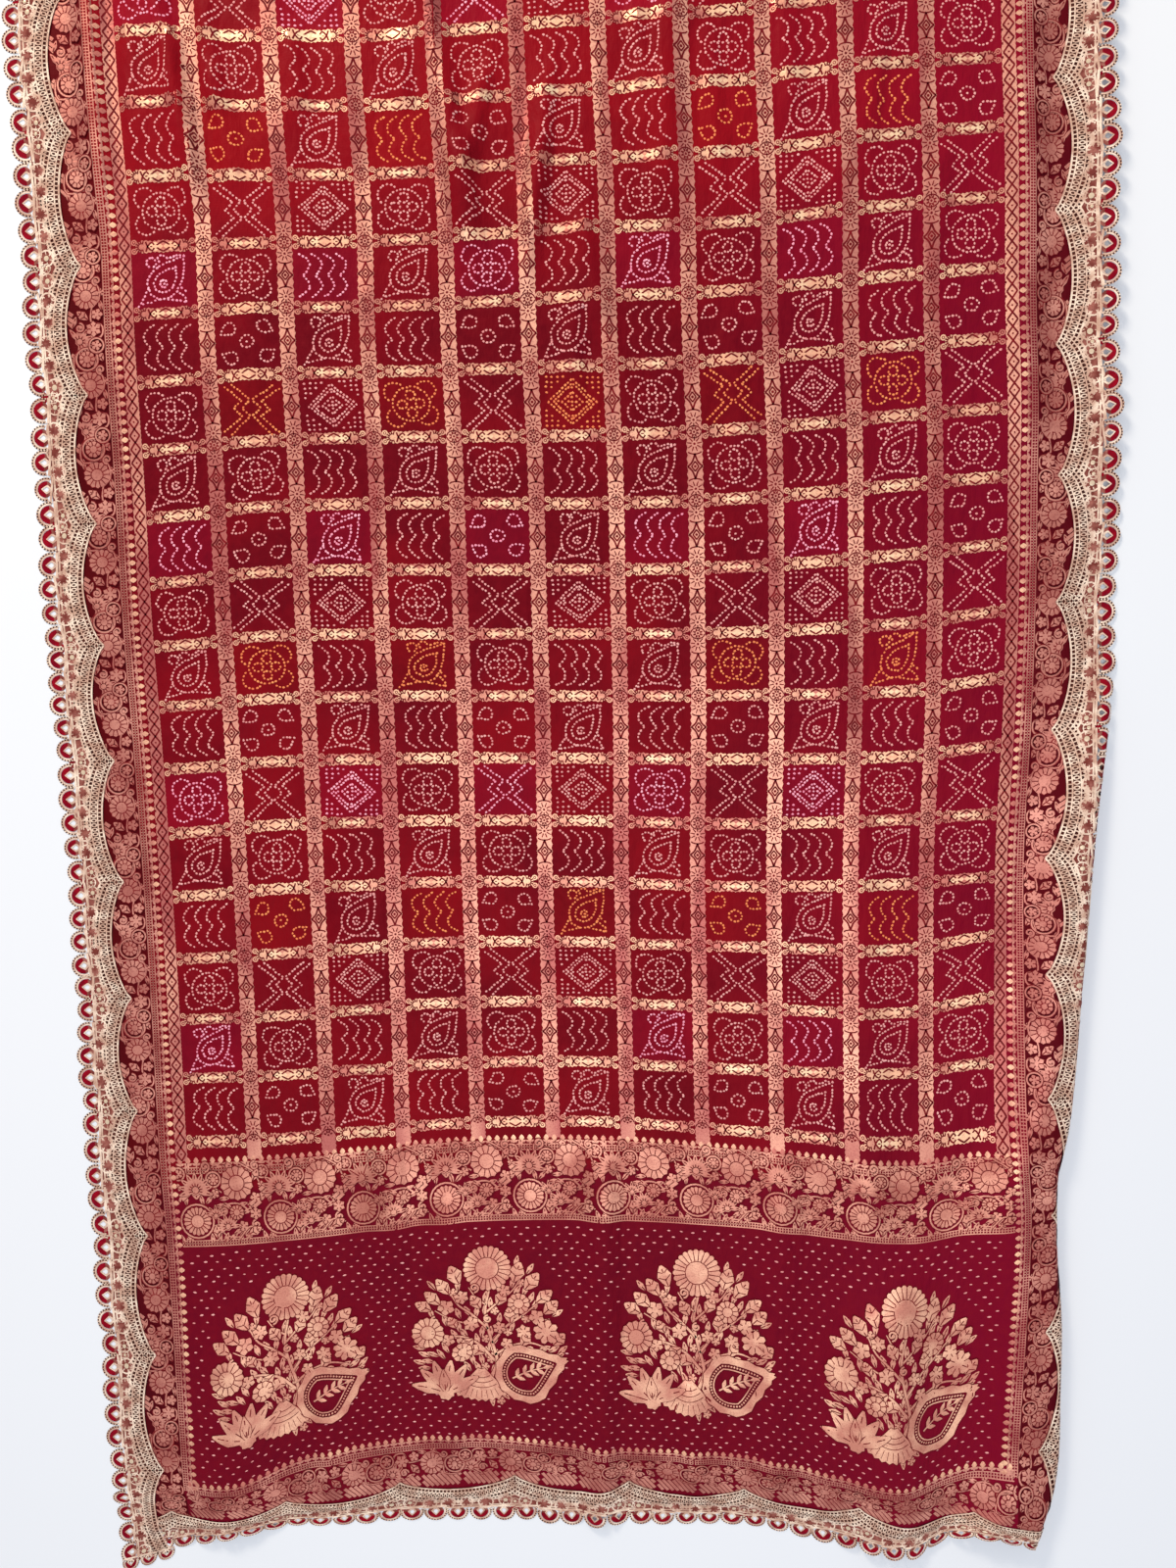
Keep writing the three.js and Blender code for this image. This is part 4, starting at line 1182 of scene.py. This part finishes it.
# %% Side borders
LADDER_AT = LADDER_INNER + 12.6
side_start, side_end = PANEL_FROM - 9, FAR_BORDER_FROM + 9
run = side_end - side_start
right_trees = put(ladder_with_trees(run), LADDER_AT, side_start, 90)
count = math.ceil(CLOTH_LENGTH / BORDER_REPEAT)
right_flowers = join(*(put(side_repeat, FLOWERS_INNER, k * BORDER_REPEAT) for k in range(count)))
right_flowers = trimmed(right_flowers, lambda c: (c[:, 1] > 1) & (c[:, 1] < CLOTH_LENGTH - 1))
right_flowers = trimmed(right_flowers, lambda c: c[:, 0] < CLOTH_HALF - 0.5)
both_borders = both_sides(join(right_trees, right_flowers))
make_piece("side_borders", "zari_thread", both_borders, ON_SILK, [zari_flowers, outline, zari_cross])

# %% [markdown]
# ## The end band
# A wide flowered band closes the grid. Under its tree row stand palmettes and full flowers with slanting
# bars behind them, and below those big ringed flowers take turns with scrolls. It is made like the side
# band, from a repeat of its own that runs across the cloth ten times.

# %% End band
END_REPEATS = 10
END_WIDTH = 2 * (LADDER_INNER + 2)
END_REPEAT = END_WIDTH / END_REPEATS
end_repeat = composed(
    [
        (ringed(full_flower(14.2, 18, 12), 17.4, 1.6), 19, 19.5, 0, 18.0),
        (stroke(arc(57, 19, 17, 17, 30, 335, 24), 1.8, 0.6),),
        (palmette(13.5, 7, 200), 50, 13, 105, 9.5),
        (full_flower(7.2, 11, 7), 60, 27, 0, 7.4),
        (blossom(5.6, 5), 65.5, 13, 0, 5.8),
        (curl(3.8, 1.4), 47, 29, 0, 4.2),
        (blossom(6.4, 6), 79, 25, 0, 6.6),
        (leaf(14, 9, 3), 71, 5, 24, 7.0),
        (curl(4.8, 1.6), 79, 14, 180, 5.0),
        (palmette(11, 5, 140), 38.3, 24, 90, 5.5),
        (leaf(13, 8, 2), 38.3, 2.5, 90, 5.0),
        (palmette(17.5, 9, 210), 20, 50, 90, 14.5),
        (leaf(10, 9, 2), 20, 51, -90, 4.0),
        (full_flower(16.8, 14, 10), 62, 55.5, 0, 16.8),
        (ringed(full_flower(5.4, 8, 5), 8.0, 1.5), 38.5, 60, 0, 8.2),
        (curl(5.4, 1.7), 31, 73, 0, 5.2),
        (ringed(blossom(4.6, 5), 6.8, 1.4), 3.5, 66, 0, 7.0),
        (curl(4.6, 1.6), 82, 72, 180, 5.0),
        (blossom(5.4, 5), 80, 41, 0, 5.4),
        (leaf(12, 7, 2), 79, 58, 62, 5.0),
        (leaf(11, 7, 2), 48, 74, -10, 4.0),
        (blossom(4.8, 5), 39, 46, 0, 5.0),
        (stem([(33, 77), (26, 70), (30, 58), (46, 47)], 1.5, 0.8),),
        (stem([(66, 75), (80, 66), (84.9, 56)], 1.5, 0.8),),
        (stem([(62, 2), (72, 12), (84.9, 8)], 1.5, 0.9),),
        (hatching(12.5, 11), 0, 41, 0, 4.0),
        (hatching(11, 9), 84.9 - 11, 31.5, 0, 3.5),
    ],
    ((2, 2), (84, 77)), 7.6, lambda x, y: 60 + 50 * math.sin(x / 11) + 40 * math.cos(y / 9),
)
end_band = join(
    *(put(end_repeat, -END_WIDTH / 2 + k * END_REPEAT, PANEL_TO + 5.5) for k in range(END_REPEATS)),
    put(ladder(2 * LADDER_INNER), LADDER_INNER, PANEL_TO + 2.6, 180),
    put(ladder_with_trees(2 * LADDER_INNER), -LADDER_INNER, END_BAND_TO - 9.5),
)
end_band = trimmed(end_band, lambda c: np.abs(c[:, 0]) < LADDER_INNER + 1.5)
make_piece("end_band", "zari_thread", end_band, ON_SILK, [zari_end, outline, zari_cross])

# %% [markdown]
# ## The hems
# The near and far ends have the side band again, turned to run across, with its tree row pointing inwards.
# The far hem is the near one turned half round.

# %% End hems
hem_run = 2 * LADDER_AT
hem_count = math.ceil(2 * FLOWERS_INNER / BORDER_REPEAT)
near_hem = join(
    put(ladder_with_trees(hem_run), -hem_run / 2, side_start),
    *(put(side_repeat, -FLOWERS_INNER + k * BORDER_REPEAT, side_start - 3.6, -90) for k in range(hem_count)),
)
near_hem = trimmed(near_hem, lambda c: (np.abs(c[:, 0]) < FLOWERS_INNER - 0.5) & (c[:, 1] > 1))
far_hem = put(near_hem, 0, CLOTH_LENGTH, 180)
far_hem = (far_hem[0] + (0, side_end - (CLOTH_LENGTH - side_start), 0), *far_hem[1:])
far_hem = trimmed(far_hem, lambda c: c[:, 1] < CLOTH_LENGTH - 1)
make_piece("end_hems", "zari_thread", join(near_hem, far_hem), ON_SILK, [zari_flowers, outline, zari_cross])

# %% [markdown]
# ## The panel
# Four egg-shaped sprays stand on the maroon panel, among rows of small dashes. The spray is a free
# arrangement of this cloth's ordinary figures: a full flower at the head, branching stems with leaves and
# blossoms, and at the foot a lotus, a small fan and a broad beaded leaf. It is filled like the borders are.


# %% The spray
def beaded_leaf(length, width):
    """A broad leaf with a scalloped rim, a beaded line and a sprig inside."""
    outer = drop_outline(length, width, 28)
    scallops = 1 + 0.03 * np.where(np.arange(28) % 2, 1, -1)[:, None]
    rim = strip(closed(outer * scallops), closed(outer * 0.76))
    beads = repeated(disc(1.1, 6), [(x, y, 0, 1) for x, y, _ in dotted(outer * 0.68, 3.2, looped=True)])
    line = stroke(closed(outer * 0.58), 1.3)
    midrib = [(-0.14 * length, 0), (0.1 * length, 1.5), (0.3 * length, 0)]
    return join(rim, beads, line, sprig(midrib, 4, 0.13 * length, 1.8))


def lotus(size):
    """Three rounds of petals that open upwards from one point."""
    rounds = [  # length, width, turns, lift
        (1.0, 0.36, (20, 50, 130, 160), 0),
        (1.02, 0.36, (76, 104), 0.06),
        (0.72, 0.34, (90,), 0.12),
    ]
    petals = [put(leaf(size * length, size * width, 1), turn=turn, lift=lift)
              for length, width, turns, lift in rounds for turn in turns]
    front = stroke(closed(drop_outline(size * 0.72, size * 0.30, 12) + (size * 0.27, 0)), 0.6)
    return join(*petals, drawn(put(front, turn=90, lift=0.12)), put(lobed(size * 0.24, 7, 0.2), lift=0.1))


def fan(radius, sweep=84):
    """A shell: a solid wedge with a lobed rim, ribs and rows of beads."""
    rim = arc(0, 0, radius, radius, -sweep / 2, sweep / 2, 17)
    rim = rim * (1 + 0.03 * np.where(np.arange(17) % 2, 1, -1))[:, None]
    reach = sweep / 2.3
    ribs = rays(0.72 * radius, 0.95 * radius, 9, 0.6, -reach, 2 * reach)
    lines = [stroke(arc(0, 0, r * radius, r * radius, -reach, reach, 10), 0.7) for r in (0.36, 0.5, 0.64)]
    return join(strip(rim * 0.12, rim), drawn(ribs, *lines))


STEM_NARROWS = 0.5
STEMS = [  # points, thickness
    ([(2, -62), (9, -40), (2, -12), (-3, 14), (2, 42)], 3.6),
    ([(6, -40), (-10, -22), (-28, -12), (-48, -8)], 2.9),
    ([(4, -20), (20, 0), (36, 12), (52, 26)], 2.7),
    ([(6, -34), (26, -22), (46, -18), (66, -24)], 2.7),
    ([(0, -4), (-16, 12), (-30, 24), (-38, 38)], 2.5),
    ([(-1, 16), (12, 28), (26, 40), (34, 52)], 2.1),
    ([(-16, 12), (-24, 4), (-42, 12), (-56, 20)], 1.9),
    ([(36, 12), (52, 8), (66, 10)], 1.9),
    ([(-2, 24), (-12, 32), (-20, 44)], 1.9),
]
LEAVES = [  # x, y, turn, length, width
    (-30, 50, 112, 24, 13), (-40, 40, 128, 22, 12), (-50, 28, 140, 22, 12), (28, 50, 72, 24, 14),
    (40, 42, 52, 24, 13), (52, 28, 40, 22, 12), (60, 16, 46, 21, 12), (-60, 20, 150, 20, 11),
    (10, 24, 62, 18, 11), (-8, 20, 122, 18, 11), (24, 4, 96, 18, 10), (36, -22, 62, 17, 10),
    (-16, -16, 215, 18, 11), (-34, 0, 120, 15, 9), (70, -18, 48, 18, 11), (-4, -32, 160, 20, 11),
]
FLOWERS = [  # x, y, radius, petals, kind
    (0, 66, 26.0, 24, full_flower), (-64, -6, 18.0, 15, full_flower), (62, -4, 14.5, 8, blossom),
    (-44, 24, 9.6, 5, blossom), (33, 26, 12.0, 11, full_flower), (-28, 34, 8.2, 6, blossom),
    (52, 12, 8.8, 5, blossom), (17, 40, 8.2, 6, blossom), (-18, 2, 9.2, 6, blossom),
    (12, -2, 7.4, 6, blossom), (-28, -30, 11.0, 9, full_flower), (38, -6, 8.6, 6, blossom),
    (-42, -14, 7.2, 5, blossom), (20, -20, 7.0, 5, blossom),
]
CURLS = [  # x, y, radius, whether turned half round
    (-14, 44, 5.4, 0), (24, 60, 5.0, 1), (44, -26, 5.4, 0), (-56, 8, 5.2, 1), (0, 8, 4.6, 1), (28, 12, 5, 0),
]
FOOT = [  # shape, x, y, turn, reach
    (fan(42), -8, -46, -90, 19.0), (beaded_leaf(82, 62), 36, -55, 24, 31.0), (lotus(39), -46, -76, 5, 23.0),
]


def in_spray(x, y):
    """Egg-shaped: 80 mm to each side at its widest, a little under the middle, and narrower to the head."""
    half = 82 * math.sqrt(max(0, 1 - ((y + 16) / 74 if y < -16 else (y + 16) / 100) ** 2))
    return abs(x) < half - 2


spray_figure = composed(
    [(stem(points, thick, STEM_NARROWS, 16),) for points, thick in STEMS]
    + [(leaf(length, width * 1.2, 3), x, y, turn, 0.36 * length) for x, y, turn, length, width in LEAVES]
    + [(kind(radius, petals), x, y, 10, radius) for x, y, radius, petals, kind in FLOWERS]
    + [(curl(radius, 1.8), x, y, 180 * turned, radius) for x, y, radius, turned in CURLS] + FOOT,
    ((-84, -88), (84, 84)), 9.6, lambda x, y: math.degrees(math.atan2(y + 70, x)), in_spray,
)
SPRAYS = [(-321, 190), (-113, 198), (103, 199), (316, 186)]
SPRAY_SIZE = 0.97
print("triangles in a spray:", len(spray_figure[1]))
sprays = repeated(spray_figure, [(x, y, 0, SPRAY_SIZE) for x, y in SPRAYS])

# %% [markdown]
# The dashes are single floats of a pale rose thread in staggered rows, woven everywhere but in the sprays.

# %% The dashes
DASH_APART, DASH_ROWS, DASH_LONG, DASH_WIDE = 13.0, 7.4, 3.7, 1.7
SPRAY_ROOM = (84, 93)
dash = put(drawn_out(disc(1, 6, 0.2), DASH_LONG, DASH_WIDE), x=-DASH_LONG / 2)
dashes = []
for k, y in enumerate(np.arange(PANEL_FROM + 6, PANEL_TO - 2, DASH_ROWS)):
    for x in np.arange(-LADDER_INNER + 8 + DASH_APART / 2 * (k % 2), LADDER_INNER - 6, DASH_APART):
        near = min(math.hypot((x - sx) / SPRAY_ROOM[0], (y - sy) / SPRAY_ROOM[1]) for sx, sy in SPRAYS)
        if near > 1:
            place = x + rng.normal(0, 0.9), y + rng.normal(0, 0.7)
            dashes.append((*place, rng.normal(0, 7), rng.uniform(0.75, 1.15)))
panel = join(sprays, in_thread(repeated(dash, dashes), BRIGHT))
make_piece("panel_sprays", "zari_thread", panel, ON_SILK, [zari_spray, outline, DOTS["pink"]])

# %% [markdown]
# ## The lace
# The tape is openwork on a fine net: from its scalloped inner edge outwards, a cord, a ladder of small
# holes, a row of loops, a second ladder, a band of crossed threads, a row of worked rings, and a row of
# petals with a dark red crescent round an open diamond. A picture with holes in it would look flat at the
# edge, so the cords are real strips over a dark backing, and the petals' openings go through. It is drawn
# along one straight scallop, then bent along the edge of the cloth.

# %% Lace petals
FELT, PEARL, NET, ROSE = range(1, 5)  # GROUND is the cream cord
LACE_LOW = CLOTH_THICK / 2 + LACE_GAP + 0.1
LACE_DEPTH = LACE_OUTER - LACE_INNER
DRAWN_DEPTH = 58.5  # how deep the scallop below is drawn


def scallop_rise(place, pitch):
    """0 at the cusps and 1 in the middle of a scallop."""
    share = place / pitch - np.floor(place / pitch)
    return np.sin(np.pi * share) ** 0.7


def lace_petal(apart):
    """A crescent of felt round an open diamond, edged with picots; it points to +y."""
    c, s = arc(0, 0, 1, 1, 0, 360, 25).T
    wide = np.stack([apart * 0.35 * c, np.where(s > 0, 8.6, 5.5) * s], -1)
    hole = np.stack([c, s], -1) / (np.abs(c) / 3.6 + np.abs(s) / 4.6)[:, None] + (0, -0.6)
    upper, lower = (strip(wide[half], hole[half]) for half in (slice(0, 13), slice(12, 25)))
    felt = join(in_thread(upper, FELT), in_thread(lower, ROSE))
    rim = arc(0, 0, apart * 0.48, 11.4, -14, 194, 13)
    beads = repeated(disc(1.0, 4, 0.5), [(x, y, 0, 1) for x, y, _ in dotted(rim, 2.9)])
    bar = stroke([(-apart / 2, -5.4), (apart / 2, -5.4)], 2.2, 1, 0.4)
    foot = around(disc(1.0, 5, 0.5), 5, 3.2, 200, 140)
    cords = join(stroke(rim * 0.84, 1.5), beads, bar, foot, stroke(closed(hole[:-1:2] * 1.14), 1.2))
    return join(put(felt, lift=0.2), in_thread(stroke(rim * 0.95, 2.4), NET, 0.25), put(cords, lift=0.45))


# %% [markdown]
# One scallop holds all the rows. Each row is a function of its distance from the inner edge and of how far
# it still follows the scallop's curve there, because the outer rows run straighter.

# %% Lace scallop
PETALS, WORKED_RINGS = 5, 6
CORDS = [  # offset, thickness, share of the scallop's curve that it follows
    (0.9, 1.7, 1), (5.2, 1.3, 1), (12.6, 1.3, 1), (17.0, 1.3, 1), (23.0, 1.7, 0.72), (36.6, 1.5, 0.1),
]
BACKINGS = [((0.6, 1), (23.0, 0.72), NET), ((23.0, 0.72), (38.5, 0.2), ROSE)]
rung = stroke([(0, -1.8), (0, 1.8)], 1.1)
loop = ring(2.2, 1.1, 8)
loop = (loop[0] * (0.9, 1.5, 1), *loop[1:])
crossed = join(*(stroke([(-1.7, -2.8 * s), (1.7, 2.8 * s)], 1.0) for s in (1, -1)))
STITCHES = [  # shape, apart, offset, share
    (rung, 3.9, 3.1, 1), (rung, 3.9, 14.8, 1), (loop, 4.5, 8.9, 1), (crossed, 3.5, 20.0, 0.86),
]


def worked_ring(pearl):
    """A ring of cord with rays, rose inside, and a bright eye if it has a pearl."""
    eye = in_thread(disc(2.6, 8, 0.5), PEARL if pearl else ROSE, 0.2)
    rays_in_ring = around(stroke([(3.4, 0), (6.8, 0)], 0.8), 6)
    return join(in_thread(disc(6.4, 12), ROSE, -0.1), ring(8.0, 1.5, 12), rays_in_ring, eye)


def lace_scallop(pitch, rng):
    """One scallop: x runs from cusp to cusp and y outwards from the cusp line. No two are quite alike."""

    def row(offset, share, count=25):
        x = np.linspace(0, pitch, count)
        rise = LACE_ARCH * scallop_rise(np.clip(x, 1e-6, pitch - 1e-6), pitch)
        return np.stack([x, rise * share + offset], -1)

    def stations(apart, offset, share):
        marks = dotted(row(offset, share, 241), apart)
        marks = (marks[1:] + marks[:-1]) / 2
        return np.column_stack([marks, np.ones(len(marks))])

    cords = [stroke(row(offset, share), thick) for offset, thick, share in CORDS]
    stitches = [repeated(shape, stations(*where)) for shape, *where in STITCHES]
    parts = [in_thread(strip(row(*inner), row(*outer)), number) for inner, outer, number in BACKINGS]
    parts.append(put(join(*cords, *stitches), lift=0.3))
    # The last worked ring is a small one on the cusp.
    for k, (x, y, *_) in enumerate([*stations(pitch / WORKED_RINGS, 30.5, 0.3), (0, 33.0)]):
        worked = worked_ring(k % WORKED_RINGS in (0, WORKED_RINGS - 1))
        size = rng.uniform(0.86, 1.1) * (1 if k < WORKED_RINGS else 0.7)
        place = x + rng.normal(0, 0.8), y + rng.normal(0, 0.9)
        parts.append(put(worked, *place, rng.uniform(0, 60), size, lift=0.35))
    apart = pitch / PETALS
    for k in range(PETALS):
        out = 46.4 - 0.5 * (k - 2) ** 2 + rng.normal(0, 0.4)
        place = apart * (k + 0.5) + rng.normal(0, 0.5), out
        parts.append(put(lace_petal(apart), *place, rng.normal(0, 5), rng.uniform(0.93, 1.05)))
    # A bow of felt fills the notch at each cusp.
    parts += [in_thread(put(leaf(9, 7, 0), x, 38, turn), FELT) for x, turn in ((0.5, 70), (pitch - 0.5, 110))]
    return join(*parts)


# %% [markdown]
# The side tapes run the full length and round the corners, and the end tapes are cut to butt against them.


# %% Lace tapes
def tape(pitch, first, last, place):
    """Scallops from the first to the last, with each point put by place(along the tape, outwards)."""
    rng = np.random.default_rng(7)
    run = join(*[put(lace_scallop(pitch, rng), k * pitch) for k in range(math.floor(first), math.ceil(last))])
    run = trimmed(run, lambda c: (c[:, 0] >= first * pitch - 0.01) & (c[:, 0] <= last * pitch + 0.01))
    if first == 0:
        # The side tapes go round the corners, so petals close their ends.
        petals = [(x, y, turn, 0.82) for x, turn in ((1, 90), (last * pitch - 1, -90)) for y in (8, 27, 46)]
        run = join(run, repeated(lace_petal(21), petals))
    corners, triangles, threads = run
    flat = place(corners[:, 0], corners[:, 1] * LACE_DEPTH / DRAWN_DEPTH)
    return upwards((np.column_stack([*flat, corners[:, 2]]), triangles, threads))


def between_side_tapes(corners):
    """Where an end tape may lie: inside both side tapes' inner edges."""
    edge = LACE_INNER + LACE_ARCH * scallop_rise(corners[:, 1] + LACE_PAST_EDGE, SIDE_PITCH)
    return np.abs(corners[:, 0]) < edge + 1.0


LACE = [lace_cream, lace_felt, lace_pearl, lace_net, lace_rose]
tapes = {}
for name, side in (("lace_left", -1), ("lace_right", 1)):
    tapes[name] = tape(
        SIDE_PITCH, 0, SIDE_SCALLOPS, lambda run, out: (side * (LACE_INNER + out), run - LACE_PAST_EDGE),
    )
for name, end, inward in (("lace_near_end", 0, 1), ("lace_far_end", CLOTH_LENGTH, -1)):
    shape = tape(
        END_PITCH, -0.25, END_SCALLOPS + 0.25,
        lambda run, out: (run - LACE_INNER, end + inward * (LACE_CUSP_IN - out)),
    )
    tapes[name] = trimmed(shape, between_side_tapes)
for name, shape in tapes.items():
    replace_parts(make_piece(name + "_openwork", "lace_thread", shape, LACE_LOW, LACE), name)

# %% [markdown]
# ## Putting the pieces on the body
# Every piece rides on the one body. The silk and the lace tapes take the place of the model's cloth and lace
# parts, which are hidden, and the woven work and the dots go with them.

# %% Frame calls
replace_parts(silk_piece, "cloth")
for piece, slot in PIECES.values():
    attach(piece, "root")
triangle_count = sum(len(piece.data.polygons) for piece, _ in PIECES.values())
print("pieces:", len(PIECES), "triangles:", triangle_count)

# %% [markdown]
# ## Floor and light
# A plain pale floor, a broad cool sky and a warm window beyond the far end. A sky alone would leave the
# folds without shade, and the low window gives each fold a lit side and a dark one.

# %% Stage
bm = bmesh.new()
bmesh.ops.create_grid(bm, x_segments=1, y_segments=1, size=6)
floor_mesh = bpy.data.meshes.new("floor")
bm.to_mesh(floor_mesh)
bm.free()
floor = bpy.data.objects.new("floor", floor_mesh)
bpy.context.scene.collection.objects.link(floor)
paper, *_ = finish("floor_paper", Base_Color=srgb("e6e9f0"), Roughness=0.9)
floor_mesh.materials.append(paper)

world = bpy.data.worlds.new("sky")
world.use_nodes = True
sky = world.node_tree.nodes["Background"].inputs
sky[0].default_value = (0.93, 0.96, 1.0, 1)
sky[1].default_value = 0.62
bpy.context.scene.world = world
bpy.context.scene.view_settings.view_transform = "Standard"


def lamp(name, place, aim, power, size, colour):
    data = bpy.data.lights.new(name, "AREA")
    data.energy, data.size, data.color = power, size, colour
    lamp_object = bpy.data.objects.new(name, data)
    lamp_object.location = place
    lamp_object.rotation_euler = (Vector(aim) - Vector(place)).to_track_quat("-Z", "Y").to_euler()
    bpy.context.scene.collection.objects.link(lamp_object)


lamp("window", (-1.4, 2.6, 1.6), (0.0, 0.3, 0), 94, 0.7, (1.0, 0.87, 0.68))
lamp("room", (0.1, -0.9, 2.4), (0, -0.3, 0), 22, 1.6, (0.97, 0.98, 1.0))
